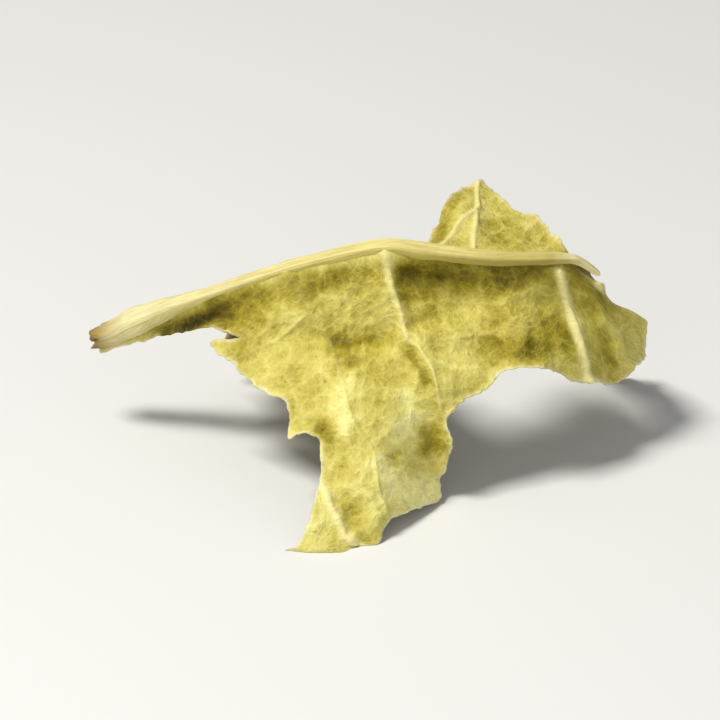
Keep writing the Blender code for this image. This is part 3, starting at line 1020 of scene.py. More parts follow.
@dataclass(frozen=True)
class DriedMidrib(DriedTissue):
    """Midrib of a papaya leaf dried in the air: a faintly shiny cream, tan before its pale thin tip.

    The eye sees fine fibres along a pale upper side, painted shade in the blade's olive tones on the side
    that turns down from the view, and a browned torn end. The shares are how much of the streaks' colour
    shows in each kind of line, which also darkens the grooves between the wrinkles as painted shade, and the
    fibres are drawn out along the rod by stretch.
    """

    name: str = "air_dried_midrib"
    ior: float = 1.4
    roughness: tuple[float, float] = (0.42, 0.62)
    along: Stops = (
        (0.0, "#6e5a2a"),
        (0.02, "#9c8650"),
        (0.05, "#d3c490"),
        (0.09, "#efe7b6"),
        (0.3, "#e8dea2"),
        (0.55, "#e6db90"),
        (0.71, "#e3d68a"),
        (0.82, "#d3c476"),
        (0.89, "#d5c77a"),
        (0.93, "#f6eeb8"),
        (1.0, "#f0e6b0"),
    )
    lower_side_painted_shade: Stops = (
        (0.0, "#a8974f"),
        (0.1, "#ddd28e"),
        (0.3, "#cdc168"),
        (0.6, "#d6ca70"),
        (0.72, "#b0a14a"),
        (0.88, "#a39440"),
        (1.0, "#c8b96a"),
    )
    streak: str = "#b5a250"
    streak_mm: float = 0.3
    streak_share: float = 0.5
    fibre_mm: float = 0.09
    fibre_share: float = 0.45
    fibre_bump: float = 0.7
    line_range: tuple[float, float] = (0.46, 0.72)
    groove_painted_shade: float = 0.35
    stretch: float = 18.0

    def surface(self, tree: bpy.types.NodeTree) -> Sockets:
        """Paints by the midrib's attributes flat, share, groove and lower, where groove and lower lay out
        painted shade.

        Args:
            tree: The material's nodes.

        Returns:
            The sockets for the shader's base colour, normal and roughness.
        """
        flat = add_node(tree, "ShaderNodeAttribute", {"attribute_name": "flat"}, "Vector")
        share, groove, lower = (
            add_node(tree, "ShaderNodeAttribute", {"attribute_name": name}, "Fac")
            for name in ("share", "groove", "lower")
        )
        given = {"Vector": flat, "Scale": (1 / self.stretch, 1.0, 1.0)}
        drawn_out = add_node(tree, "ShaderNodeMapping", given)
        streaks, fibres = (
            add_node(
                tree, "ShaderNodeTexNoise", {"Vector": drawn_out, "Scale": 1 / size, "Detail": self.detail}
            )
            for size in (self.streak_mm, self.fibre_mm)
        )
        upper, under = (
            add_node(tree, "ShaderNodeValToRGB", {"Fac": share, "stops": stops})
            for stops in (self.along, self.lower_side_painted_shade)
        )
        # The side of the rod that turns down from the view takes the lower side's painted shade
        given = {"data_type": "RGBA", SHARE: lower, UNDER: upper, OVER: under}
        colour = add_node(tree, "ShaderNodeMix", given, MIXED)
        parts = []
        low, high = self.line_range
        for noise, most in ((streaks, self.streak_share), (fibres, self.fibre_share)):
            given = {"Value": noise, "From Min": low, "From Max": high, "To Max": most}
            parts.append(add_node(tree, "ShaderNodeMapRange", given))
        # The grooves between the wrinkles take the streak colour as painted shade
        given = {"operation": "MULTIPLY", 0: groove, 1: self.groove_painted_shade}
        parts.append(add_node(tree, "ShaderNodeMath", given))
        for part in parts:
            given = {"data_type": "RGBA", SHARE: part, UNDER: colour, OVER: linear(self.streak)}
            colour = add_node(tree, "ShaderNodeMix", given, MIXED)
        given = {"operation": "MULTIPLY_ADD", 0: fibres, 1: self.fibre_bump, 2: streaks}
        height = add_node(tree, "ShaderNodeMath", given)
        return {"Base Color": colour, **self.relief(tree, height, streaks)}


def new_mesh(name: str, points: Array, faces: list[Array]) -> bpy.types.Mesh:
    """A mesh of points in metres and faces given as arrays of rows of point numbers.

    Args:
        name: The mesh's name.
        points: The points.
        faces: One array for each number of corners.

    Returns:
        The mesh, shaded smooth.
    """
    mesh = bpy.data.meshes.new(name)
    counts = np.concatenate([np.full(len(rows), rows.shape[1]) for rows in faces])
    corners = np.concatenate([rows.ravel() for rows in faces])
    mesh.vertices.add(len(points))
    mesh.vertices.foreach_set("co", points.astype(np.float32).ravel())
    mesh.loops.add(len(corners))
    mesh.loops.foreach_set("vertex_index", corners.astype(np.int32))
    mesh.polygons.add(len(counts))
    mesh.polygons.foreach_set("loop_start", np.concatenate([[0], np.cumsum(counts)[:-1]]).astype(np.int32))
    mesh.update(calc_edges=True)
    mesh.validate()
    mesh.shade_smooth()
    return mesh


def write_attributes(mesh: bpy.types.Mesh, painted: dict[str, Array]) -> None:
    """Writes the numbers that the finishes read.

    Args:
        mesh: The mesh.
        painted: For each attribute, one number or one row of three for each of the mesh's points.
    """
    for name, values in painted.items():
        kind, key = ("FLOAT", "value") if values.ndim == 1 else ("FLOAT_VECTOR", "vector")
        attribute = mesh.attributes.new(name, kind, "POINT")
        attribute.data.foreach_set(key, values.astype(np.float32).ravel())


def shown(name: str, mesh: bpy.types.Mesh) -> bpy.types.Object:
    """Puts a piece of the leaf in the scene. It rides on the part's body, and stands for its node.

    Args:
        name: The piece's name.
        mesh: Its mesh.

    Returns:
        The piece.
    """
    piece = bpy.data.objects.new(name, mesh)
    bpy.context.scene.collection.objects.link(piece)
    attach(piece, "root")
    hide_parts(CAD_NODE)
    LOG.info("%s: %d points, %d faces", name, len(mesh.vertices), len(mesh.polygons))
    return piece


def unit(rows: Array) -> Array:
    """Each row of three numbers, scaled to a length of 1."""
    return rows / np.maximum(np.linalg.norm(rows, axis=1, keepdims=True), TINY)


def point_normals(points: Array, triangles: Array) -> Array:
    """The unit normal at each point, from the areas and directions of the triangles round it.

    Args:
        points: The points.
        triangles: Rows of three point numbers.

    Returns:
        The normals.
    """
    a, b, c = (points[triangles[:, k]] for k in range(3))
    across = np.cross(b - a, c - a)
    corners = triangles.ravel()
    sums = [np.bincount(corners, np.repeat(along, 3), len(points)) for along in across.T]
    return unit(np.stack(sums, axis=1))


def evened(values: Array, triangles: Array, share: Array, rounds: int) -> Array:
    """Draws each point's values towards the mean of its neighbours.

    Args:
        values: A row for each point.
        triangles: Rows of three point numbers.
        share: How far each point moves to the mean in each round, from 0 to 1.
        rounds: The number of rounds.

    Returns:
        The evened values.
    """
    starts = triangles[:, [0, 1, 2, 1, 2, 0]].ravel()
    ends = triangles[:, [1, 2, 0, 0, 1, 2]].ravel()
    count = np.maximum(np.bincount(starts, minlength=len(values)), 1)[:, None]
    for _ in range(rounds):
        sums = [np.bincount(starts, column[ends], len(values)) for column in values.T]
        values = values + share[:, None] * (np.stack(sums, axis=1) / count - values)
    return values


@dataclass(frozen=True)
class Relief:
    """What stands out of the blade's middle surface, for each point of it.

    underside and upper_face are how far the two faces lie from it in millimetres, net and vein how much of
    the veins' colours shows, and foot how much the point is on the midrib's foot, all from 0 to 1.
    """

    underside: Array
    upper_face: Array
    net: Array
    vein: Array
    foot: Array


@dataclass
class LeafBlade:
    """The blade: one closed sheet, with its underside outside the curl, its upper face inside, and a rim."""

    form: LeafForm = field(default_factory=LeafForm)
    outline: TornOutline = field(default_factory=TornOutline)

    # The sheet, which thins within a distance of the torn edge, and the fibres that stand out of its rim
    thickness: float = 0.2
    rim_thickness: float = 0.1
    thins_within: float = 0.7
    rim_bulge: float = 0.03
    fray: Noise = Noise(0.5, 2, 41)
    fray_least: float = 0.4

    # The spacing of the points, which is fine within some distance of the veins and the edge
    coarse_step: float = 0.15
    fine_step: float = 0.1
    fine_beside_veins: float = 0.45
    fine_beside_edge: float = 0.25
    clear_of_edge: float = 0.06

    # The evening of the ridge, within its width and off the torn edge, and of the normals
    ridge_width: float = 0.9
    ridge_evening: float = 0.8
    ridge_rounds: int = 14
    edge_kept: float = 0.2
    normal_evening: float = 0.5
    normal_rounds: int = 3

    # How far from the ridge the drying forms, the side veins and the crumples start, and are in full
    forms_from: tuple[float, float] = (0.1, 1.2)
    veins_from: tuple[float, float] = (0.05, 0.4)
    crumples_from: tuple[float, float] = (0.3, 2.5)

    # The forms that drying left in the front half, besides its curl
    drying_forms: tuple[Step | Fold | Dimple, ...] = (
        Step(((1.1, 18.6), (1.4, 17.0), (1.8, 15.8), (2.1, 14.6), (2.3, 13.6)), 0.65, 0.8, 3.0),
        Fold(((2.2, 13.6), (2.7, 12.5), (3.2, 11.8), (3.5, 11.0), (3.8, 10.2)), -0.28, 0.25, 0.5),
        Fold(((2.6, 13.9), (3.4, 12.7), (3.9, 11.9), (4.1, 11.0), (4.3, 9.6)), 0.30, 1.1, 0.25),
        Fold(((-3.9, 13.8), (-2.5, 13.6), (-1.3, 13.4), (0.3, 13.6), (1.9, 13.9)), -0.5, 0.5, 0.55),
        Dimple(-9.5, 14.6, 1.2, 1.1, 0.30),
        Dimple(-10.9, 13.7, 1.2, 1.4, 0.45),
        Dimple(-4.8, 15.0, 2.2, 0.8, -0.30),
        Dimple(-0.6, 15.6, 1.7, 1.1, -0.25),
        Dimple(-0.9, 12.2, 0.5, 0.5, 0.30),
        Dimple(-5.4, 12.4, 1.3, 0.8, -0.20),
        Dimple(-3.4, 12.1, 0.7, 0.6, -0.25),
        Dimple(-1.7, 10.3, 1.0, 1.2, -0.40),
        Dimple(-1.3, 8.4, 0.9, 0.9, -0.35),
        Dimple(-2.7, 7.8, 0.6, 0.7, 0.50),
        Dimple(1.65, 6.4, 0.45, 0.5, 0.30),
        Dimple(3.6, 7.4, 0.55, 0.9, 0.45),
        Dimple(3.8, 3.3, 1.8, 1.7, -0.60),
        Dimple(5.6, 14.4, 1.6, 1.3, -0.25),
        Dimple(6.1, 12.0, 1.2, 1.0, -0.20),
        Dimple(3.4, 16.4, 1.2, 1.0, 0.20),
        Dimple(9.2, 16.2, 1.2, 0.8, -0.35),
        Dimple(9.9, 13.6, 0.4, 0.6, 0.40),
        Dimple(14.0, 12.1, 0.6, 0.7, 0.35),
        Dimple(15.6, 12.7, 0.9, 0.7, -0.35),
        Dimple(14.6, 14.6, 0.9, 0.8, -0.25),
        Fold(((-2.8, 4.8), (-2.25, 3.4), (-1.85, 2.6), (-1.45, 1.7), (-0.5, 0.9)), 0.55, 0.35, 0.5),
        Dimple(-1.2, 2.9, 0.45, 1.0, 0.30),
        Fold(((0.5, 7.4), (0.4, 6.2), (0.6, 5.3), (-0.1, 4.1), (-0.3, 3.3)), 0.10, 0.6, 0.4, 0.35),
        Fold(((-9.8, 13.2), (-8.3, 12.6), (-6.6, 12.3), (-5.0, 12.4)), 0.35, 0.6, 0.9),
        Fold(((-6.5, 11.6), (-5.2, 10.9), (-4.2, 9.6), (-3.9, 8.3)), 0.30, 0.8, 0.6),
    )
    side_veins: tuple[SideVein, ...] = (
        SideVein(((1.05, 18.7), (1.35, 17.0), (1.75, 15.8), (2.05, 14.6), (2.3, 13.7)), 0.24, 0.36, 0.6),
        SideVein(((2.3, 13.8), (3.2, 12.8), (3.8, 11.9), (4.1, 10.9), (4.4, 9.3)), 0.12, 0.22, 0.3),
        SideVein(((11.6, 18.0), (11.95, 16.7), (12.4, 15.0), (13.0, 13.3),
                 (13.5, 11.1)), 0.28, 0.32, 0.95, 1.3),
        SideVein(((-4.9, 17.6), (-3.6, 15.3), (-2.4, 13.5), (-1.6, 11.0), (-1.1, 8.8), (0.3, 6.8),
                 (0.5, 4.8), (1.1, 2.9)), 0.14, 0.24, 0.10),
        SideVein(((0.3, 6.8), (2.4, 5.6), (4.4, 5.2)), 0.10, 0.20, 0.12),
        SideVein(((-3.6, 15.3), (-5.4, 13.7), (-8.0, 12.4)), 0.12, 0.22, 0.12),
        SideVein(((2.3, 14.0), (4.4, 13.6), (7.3, 13.9), (9.6, 15.2)), 0.10, 0.20, 0.10),
        SideVein(((-2.8, 4.8), (-2.25, 3.4), (-1.85, 2.6), (-1.45, 1.7),
                 (-0.5, 0.9)), 0.16, 0.26, 0.85, 1.3),
        SideVein(((4.2, 0.9), (4.9, 1.8), (5.6, 2.8), (6.2, 3.7), (6.6, 4.5),
                 (6.75, 7.2)), 0.26, 0.30, 0.65, given=Given.FLAT),
        SideVein(((6.4, 0.3), (6.45, 2.2), (6.5, 4.2)), 0.24, 0.28, 0.65, given=Given.FLAT),
        SideVein(((-4.8, 0.6), (-5.1, 5.0), (-5.1, 10.0), (-5.6, 14.5),
                 (-6.4, 17.8)), 0.34, 0.36, 0.9, given=Given.FLAT),
        SideVein(((-5.1, 5.0), (-7.2, 5.9), (-9.4, 6.1)), 0.22, 0.24, 0.6, given=Given.FLAT),
        SideVein(((-5.1, 7.6), (-2.0, 9.4), (-0.4, 12.6)), 0.24, 0.25, 0.6, given=Given.FLAT),
        SideVein(((14.1, 0.3), (14.8, 5.0), (14.9, 10.0), (14.6, 15.6)), 0.27, 0.33, 0.9, given=Given.FLAT),
        SideVein(((14.9, 8.2), (15.4, 9.8), (16.2, 12.1)), 0.22, 0.24, 0.6, given=Given.FLAT),
    )
    # Stained patches of the dried tissue, with painted shade under the midrib, in creases and in hollows,
    # and painted light on swellings and on flanks turned from the light
    stains_and_painted_shading: tuple[StainAndPaintedShading, ...] = (
        # Painted shade under the midrib's thick end and above the tooth, where the blade turns from the
        # light
        StainAndPaintedShading(((-12.4, 13.9), (-11.0, 14.3), (-10.0, 14.9), (-9.3, 15.9)), 0.9, 0.7, -0.42),
        StainAndPaintedShading(((-8.3, 14.7), (-7.6, 13.9)), 0.7, 0.7, -0.18),
        # Painted shade along the underside of the midrib, and the midrib's painted shadow right of the first
        # side vein
        StainAndPaintedShading(((-7.8, 15.8), (-5.6, 16.0), (-1.2, 17.4)), 1.4, 0.7, -0.28),
        StainAndPaintedShading(((0.0, 17.8), (0.6, 16.9)), 0.6, 0.5, -0.25),
        StainAndPaintedShading(((2.6, 18.0), (6.0, 17.5), (8.4, 17.4), (10.2, 17.6)), 0.8, 0.9, -0.42),
        StainAndPaintedShading(((4.6, 14.2), (6.4, 14.3)), 0.9, 0.8, -0.12),
        StainAndPaintedShading(((2.9, 16.0), (3.5, 15.6)), 0.6, 0.6, -0.14),
        # Painted shade under the midrib
        StainAndPaintedShading(((6.6, 16.6), (8.0, 16.8)), 0.8, 0.7, -0.15),
        StainAndPaintedShading(((0.8, 13.4), (1.3, 15.4), (3.4, 15.0)), 0.7, 0.7, 0.16),
        # Painted light on the lower flank of a swelling
        StainAndPaintedShading(((-5.0, 14.6), (-3.6, 14.4)), 0.7, 0.7, 0.12),
        # Painted shade in the crease, and in the small hollow below it
        StainAndPaintedShading(((-2.6, 13.7), (-1.4, 13.4), (1.0, 13.7)), 0.45, 0.4, -0.16),
        StainAndPaintedShading(((-2.2, 12.8), (-0.8, 12.2), (-0.6, 11.5)), 0.6, 0.6, -0.17),
        StainAndPaintedShading(((-8.4, 12.4), (-6.2, 12.4), (-4.8, 11.0)), 0.9, 1.2, -0.15),
        # Painted highlight on the swellings in the middle of the lobe
        StainAndPaintedShading(((-1.4, 11.0), (-2.0, 9.6), (-1.3, 8.2)), 0.6, 0.6, 0.18),
        # Painted shade in the hollow beside the notch
        StainAndPaintedShading(((-2.9, 8.0), (-2.3, 7.3)), 0.6, 0.6, -0.18),
        StainAndPaintedShading(((1.0, 9.6), (1.1, 8.8)), 0.7, 0.6, -0.16),
        # Painted shade in the crease beside the raised fold
        StainAndPaintedShading(((2.4, 12.7), (3.05, 12.0), (3.45, 11.2)), 0.35, 0.35, -0.28),
        StainAndPaintedShading(((3.95, 7.8), (3.6, 6.8)), 0.6, 0.5, -0.20),
        # Painted shade in a small hollow
        StainAndPaintedShading(((1.7, 6.5), (1.8, 6.1)), 0.35, 0.35, -0.16),
        # Painted light on the shaded flank of a fold
        StainAndPaintedShading(((0.7, 6.2), (1.0, 5.2)), 0.5, 0.5, 0.14),
        # Painted light where the lower lobe's right flank turns from the light
        StainAndPaintedShading(((1.8, 8.4), (1.3, 6.2), (1.5, 4.4), (3.8, 4.3)), 1.0, 1.4, 0.30),
        StainAndPaintedShading(((2.5, 9.7), (3.4, 8.6)), 0.9, 0.8, 0.32),
        # Painted light on the lower lobe where it turns from the light
        StainAndPaintedShading(((-0.9, 4.1), (0.2, 3.6)), 0.5, 0.5, 0.14),
        # Painted shade in the valley beside the lobe's fold
        StainAndPaintedShading(((-1.0, 3.3), (-0.8, 2.1)), 0.35, 0.35, -0.12),
        StainAndPaintedShading(((-2.8, 3.6), (-3.6, 1.0)), 0.7, 1.0, 0.14),
        StainAndPaintedShading(((7.8, 13.3), (9.6, 13.0), (11.8, 13.8)), 1.0, 1.3, -0.28),
        StainAndPaintedShading(((7.7, 14.5), (9.4, 15.2), (11.4, 15.1)), 0.7, 0.8, -0.15),
        StainAndPaintedShading(((13.0, 17.2), (14.0, 16.3)), 0.8, 0.8, -0.26),
        StainAndPaintedShading(((13.9, 15.2), (14.8, 12.6)), 1.0, 1.0, -0.23),
        StainAndPaintedShading(((12.8, 0.8), (13.9, 4.4)), 1.0, 1.0, -0.52, Given.FLAT),
        StainAndPaintedShading(((8.4, 1.8), (8.0, 3.6)), 1.1, 1.1, -0.18, Given.FLAT),
        StainAndPaintedShading(((4.4, 2.2), (5.0, 5.2)), 0.8, 0.8, -0.24, Given.FLAT),
        StainAndPaintedShading(((6.9, 3.6), (7.0, 4.8)), 0.6, 0.6, 0.20, Given.FLAT),
        StainAndPaintedShading(((-7.4, 2.6), (-6.2, 8.4)), 1.2, 1.6, -0.14, Given.FLAT),
        StainAndPaintedShading(((15.8, 5.2), (15.6, 12.6)), 0.9, 1.1, -0.14, Given.FLAT),
    )

    # The tone from 0, olive, to 1, pale straw, and how much the drying forms and the crumples change it
    base_tone: float = 0.58
    # The drying forms' lift and the crumples paint light where they raise the underside, and shade in their
    # hollows
    painted_light_by_lift: float = 0.31
    painted_light_by_crumple: float = 0.09
    # The borders of the stained patches and the painted shading stray by noise, read at two places far
    # apart, but not over the ridge
    tone_mark_stray: Noise = Noise(1.3, 3, 34)
    tone_mark_stray_height: float = 0.25
    far_apart: float = 40.0
    short_of_ridge: float = 0.01

    # The net of fine veins, how far it stands out of the underside and of the upper face, the height of a
    # side vein that leaves none of it, and the share of a side vein's height that furrows the upper face
    coarse_net: VeinNet = VeinNet(1.9, 0.85, 5, 0.9, 0.13, 0.08, 0.8)
    fine_net: VeinNet = VeinNet(0.72, 0.85, 6, 0.45, 0.08, 0.025, 0.3)
    net_height: float = 0.05
    net_below: float = 0.03
    no_net_at: float = 0.1
    furrow: float = 0.25

    # The waves that the tissue dried in, and the curl and the lip of its torn edge
    bend: Noise = Noise(7.0, 2, 31)
    bend_height: float = 0.26
    crumple: Noise = Noise(2.4, 4, 32)
    crumple_height: float = 0.20
    curl: Noise = Noise(5.0, 2, 33)
    curl_height: float = 0.5
    curl_width: float = 1.1
    lip_height: float = 0.07
    lip_width: float = 0.2
    lip_share: float = 0.6
    lip_finer: float = 3.0

    # The midrib's foot, and the x between which it stands out and is paler: pale tissue, and painted light
    # where the midrib would shade the blade
    foot_height: float = 0.72
    foot_width: float = 0.62
    foot_span: tuple[float, float, float, float] = (-14.5, -10.0, 1.5, 4.5)
    foot_pale_and_painted_light: float = 0.14
    pale_span: tuple[float, float, float, float] = (-9.0, -6.5, 2.0, 3.0)

    # The torn tissue's colour along the edge, which is uneven, and fades where the blade is olive, painted
    # shade included
    tear_width: float = 0.16
    tear_noise: Noise = Noise(1.2, 2, 42)
    tear_mean: float = 0.6
    tear_change: float = 0.7
    tear_tones: tuple[float, float] = (0.2, 0.5)

    # A third coordinate of the finishes' patterns keeps the underside, the upper face and the rim apart
    layers: tuple[float, float, float] = (0.0, 9.0, 4.0)

    def layout(self) -> tuple[Array, Array, Array]:
        """The flat blade as triangles.

        A triangular grid fills the edge, finer beside the veins and the edge, and a Delaunay triangulation
        with the edge as its border joins it.

        Returns:
            The points, the triangles, and each point's distance to the torn edge.
        """
        loop = self.outline.loop(self.form)
        border = np.vstack([loop, loop[:1]])
        grids = []
        for step, fine in ((self.coarse_step, False), (self.fine_step, True)):
            rows = np.arange(loop[:, 1].min(), loop[:, 1].max(), step * math.sqrt(3) / 2)
            columns = np.arange(loop[:, 0].min(), loop[:, 0].max(), step)
            x, v = np.meshgrid(columns, rows)
            x = x + step / 2 * (np.arange(len(rows)) % 2)[:, None]
            grid = np.stack([x.ravel(), v.ravel()], axis=1)
            grid = grid[inside(grid, loop)]
            to_edge = nearness(grid, border).distance
            near = to_edge < self.fine_beside_edge
            for vein in self.side_veins:
                line = self.form.laid_out(vein.given, vein.line)
                near |= nearness(grid, line).distance < self.fine_beside_veins
            grids.append(grid[(near == fine) & (to_edge > self.clear_of_edge)])
        points = np.vstack([loop, *grids])
        ring = np.arange(len(loop))
        edges = np.stack([ring, np.roll(ring, -1)], axis=1).tolist()
        made = delaunay_2d_cdt(points.tolist(), edges, [], INSIDE_THE_EDGE, SAME_POINT)
        flat, triangles = np.array([tuple(p) for p in made[0]]), np.array(made[2])
        used, triangles = np.unique(triangles, return_inverse=True)
        flat = flat[used]
        return flat, triangles.reshape(-1, 3), nearness(flat, border).distance

    def lifted(self, flat: Array) -> Array:
        """How far the drying forms move each point of the front half to the viewer, fading at the ridge.

        Args:
            flat: The points of the layout.

        Returns:
            The sum of the forms' lifts.
        """
        seen = self.form.as_seen(flat)
        total = np.zeros(len(flat))
        for form in self.drying_forms:
            total += form.lift(seen)
        return total * smooth_step(*self.forms_from, -flat[:, 1])

    def middle_surface(
        self, flat: Array, triangles: Array, to_edge: Array, lift: Array
    ) -> tuple[Array, Array]:
        """The curled surface halfway through the sheet, with its ridge and its normals evened.

        Args:
            flat: The points of the layout.
            triangles: Rows of three point numbers.
            to_edge: Each point's distance to the torn edge.
            lift: How far the drying forms lift each point.

        Returns:
            The points in space, and their unit normals, which point out of the underside.
        """
        beside_ridge = np.abs(flat[:, 1])
        at_ridge = smooth_step(self.ridge_width, 0, beside_ridge) * (to_edge > self.edge_kept)
        middle = self.form.curled(flat, lift)
        middle = evened(middle, triangles, self.ridge_evening * at_ridge, self.ridge_rounds)
        everywhere = np.full(len(flat), self.normal_evening)
        normals = evened(point_normals(middle, triangles), triangles, everywhere, self.normal_rounds)
        return middle, unit(normals)

    def relief(self, flat: Array, to_edge: Array) -> Relief:
        """Works out what stands out of the middle surface.

        Both faces follow the waves, the curl and the lip of the torn edge, and lie further in between the
        net's lines. The underside adds the side veins, the net and the midrib's foot. The upper face is
        deeper by the sheet's thickness, and has shallow furrows along the side veins.

        Args:
            flat: The points of the layout.
            to_edge: Each point's distance to the torn edge.

        Returns:
            The relief at each point.
        """
        beside_ridge = np.abs(flat[:, 1])
        crumpled = smooth_step(*self.crumples_from, beside_ridge)
        raised, pale = zip(*(vein.raised(flat, self.form) for vein in self.side_veins))
        vein = np.max(raised, axis=0) * smooth_step(*self.veins_from, beside_ridge)
        coarse, coarse_sag = self.coarse_net.drawn(flat)
        fine, fine_sag = self.fine_net.drawn(flat)
        net = np.maximum(coarse, fine) * (1 - np.clip(vein / self.no_net_at, 0, 1))
        sag = coarse_sag + fine_sag

        curl = self.curl_height * self.curl.at(flat) * np.clip(1 - to_edge / self.curl_width, 0, 1) ** 2
        lip = self.lip_height * np.exp(-((to_edge / self.lip_width) ** 2))
        lip *= self.lip_share * (1 + self.curl.at(flat * self.lip_finer))
        waves = self.bend_height * self.bend.at(flat) + self.crumple_height * self.crumple.at(flat)
        shift = crumpled * (waves + curl + lip)
        foot = plateau(self.foot_span, flat[:, 0]) * np.exp(-((beside_ridge / self.foot_width) ** 2))
        thick = smooth_step(0, self.thins_within, to_edge)
        sheet = self.rim_thickness + (self.thickness - self.rim_thickness) * thick
        return Relief(
            underside=shift + vein + self.foot_height * foot + crumpled * (self.net_height * net - sag),
            upper_face=shift - sheet + self.furrow * vein - crumpled * (self.net_below * net + sag),
            net=net,
            vein=np.max(pale, axis=0),
            foot=foot,
        )

    def toned(self, flat: Array, lift: Array) -> Array:
        """The underside's tone: base, stained patches, painted shading, and painted light where raised,
        shade in hollows.

        Args:
            flat: The points of the layout.
            lift: How far the drying forms lift each point.

        Returns:
            The tone at each point, from 0, olive, to 1, pale straw.
        """
        tone = self.base_tone + self.painted_light_by_lift * np.clip(lift, -1, 1)
        tone += self.painted_light_by_crumple * self.crumple.at(flat)
        strays = [self.tone_mark_stray.at(places) for places in (flat, flat[:, ::-1] + self.far_apart)]
        places = flat + self.tone_mark_stray_height * np.stack(strays, axis=1)
        in_front, behind = np.minimum(places[:, 1], -self.short_of_ridge), np.maximum(places[:, 1], 0)
        places[:, 1] = np.where(flat[:, 1] < 0, in_front, behind)
        for tone_mark in self.stains_and_painted_shading:
            tone += tone_mark.tone(places, self.form)
        return np.clip(tone, 0, 1)

    def painted(self, flat: Array, to_edge: Array, lift: Array, relief: Relief) -> dict[str, Array]:
        """The numbers from 0 to 1 that lay out the finishes' colours.

        Args:
            flat: The points of the layout.
            to_edge: Each point's distance to the torn edge.
            lift: How far the drying forms lift each point.
            relief: What stands out of the middle surface.

        Returns:
            By attribute, the tone with its painted light and shade, and how much of the veins, the net and
            the torn edge shows at each point.
        """
        # Paler beside the midrib's foot: pale tissue, and painted light where the midrib would shade the
        # blade
        beside_rib = relief.foot * plateau(self.pale_span, flat[:, 0])
        tone = np.clip(self.toned(flat, lift) + self.foot_pale_and_painted_light * beside_rib, 0, 1)
        uneven = np.clip(self.tear_mean + self.tear_change * self.tear_noise.at(flat), 0, 1)
        edge = np.exp(-((to_edge / self.tear_width) ** 2)) * uneven * smooth_step(*self.tear_tones, tone)
        return {"tone": tone, "vein": relief.vein, "net": relief.net, "edge": edge}

    @staticmethod
    def rim_edges(triangles: Array) -> tuple[Array, Array]:
        """Finds the edges that only one triangle has, in that triangle's direction.

        Args:
            triangles: Rows of three point numbers.

        Returns:
            The edges' starts, rising, and their ends.
        """
        starts = triangles.ravel()
        ends = np.roll(triangles, -1, axis=1).ravel()
        keys = np.minimum(starts, ends) * (triangles.max() + 1) + np.maximum(starts, ends)
        _, first, counts = np.unique(keys, return_index=True, return_counts=True)
        single = first[counts == 1]
        single = single[np.argsort(starts[single])]
        return starts[single], ends[single]

    def build(self) -> bpy.types.Object:
        """Builds the blade.

        The middle surface is moved along its normals for the underside and for the upper face. A ring of
        points between the two, which stands out a little, closes the rim.

        Returns:
            The piece.
        """
        flat, triangles, to_edge = self.layout()
        lift = self.lifted(flat)
        middle, normals = self.middle_surface(flat, triangles, to_edge, lift)
        relief = self.relief(flat, to_edge)
        outer = middle + normals * relief.underside[:, None]
        inner = middle + normals * relief.upper_face[:, None]
        starts, ends = self.rim_edges(triangles)
        outward = unit(np.cross(outer[ends] - outer[starts], normals[starts]))
        bulge = self.rim_bulge * (self.fray_least + np.abs(self.fray.at(flat[starts])))
        rim = (outer[starts] + inner[starts]) / 2 + outward * bulge[:, None]
        points = kept_in_box(np.vstack([outer, inner, rim]))
        points[:, 2] -= points[:, 2].min()

        count = len(flat)
        ring_number = np.full(count, -1)
        ring_number[starts] = np.arange(len(starts))
        rim_start, rim_end = 2 * count + ring_number[starts], 2 * count + ring_number[ends]
        upper_quads = np.stack([ends, starts, rim_start, rim_end], axis=1)
        lower_quads = np.stack([rim_end, rim_start, count + starts, count + ends], axis=1)
        faces = [np.vstack([triangles, count + triangles[:, ::-1]]), np.vstack([upper_quads, lower_quads])]
        mesh = new_mesh("leaf_blade", points * METRES_PER_MM, faces)

        sides = np.array([Side.UNDERSIDE.value, Side.UPPER_FACE.value, Side.TORN_RIM.value], np.int32)
        sides = np.repeat(sides, [len(triangles), len(triangles), 2 * len(starts)])
        mesh.polygons.foreach_set("material_index", sides)
        for finish in (LeafUnderside(), LeafUpperFace(), TornRim()):
            mesh.materials.append(finish.material())
        source = np.concatenate([np.arange(count), np.arange(count), starts])
        layer = np.repeat(self.layers, [count, count, len(starts)])
        painted = self.painted(flat, to_edge, lift, relief)
        painted = {name: values[source] for name, values in painted.items()}
        write_attributes(mesh, {"flat": np.column_stack([flat[source], layer]), **painted})
        return shown("leaf_blade", mesh)


@dataclass(frozen=True)
class Course:
    """The course of the midrib, ring by ring.

    Fields are the rings' middles, their radii, how far along the rod they are, and three unit directions:
    ahead along the rod, to its side, and up from it.
    """

    middle: Array
    radius: Array
    run: Array
    ahead: Array
    side: Array
    up: Array


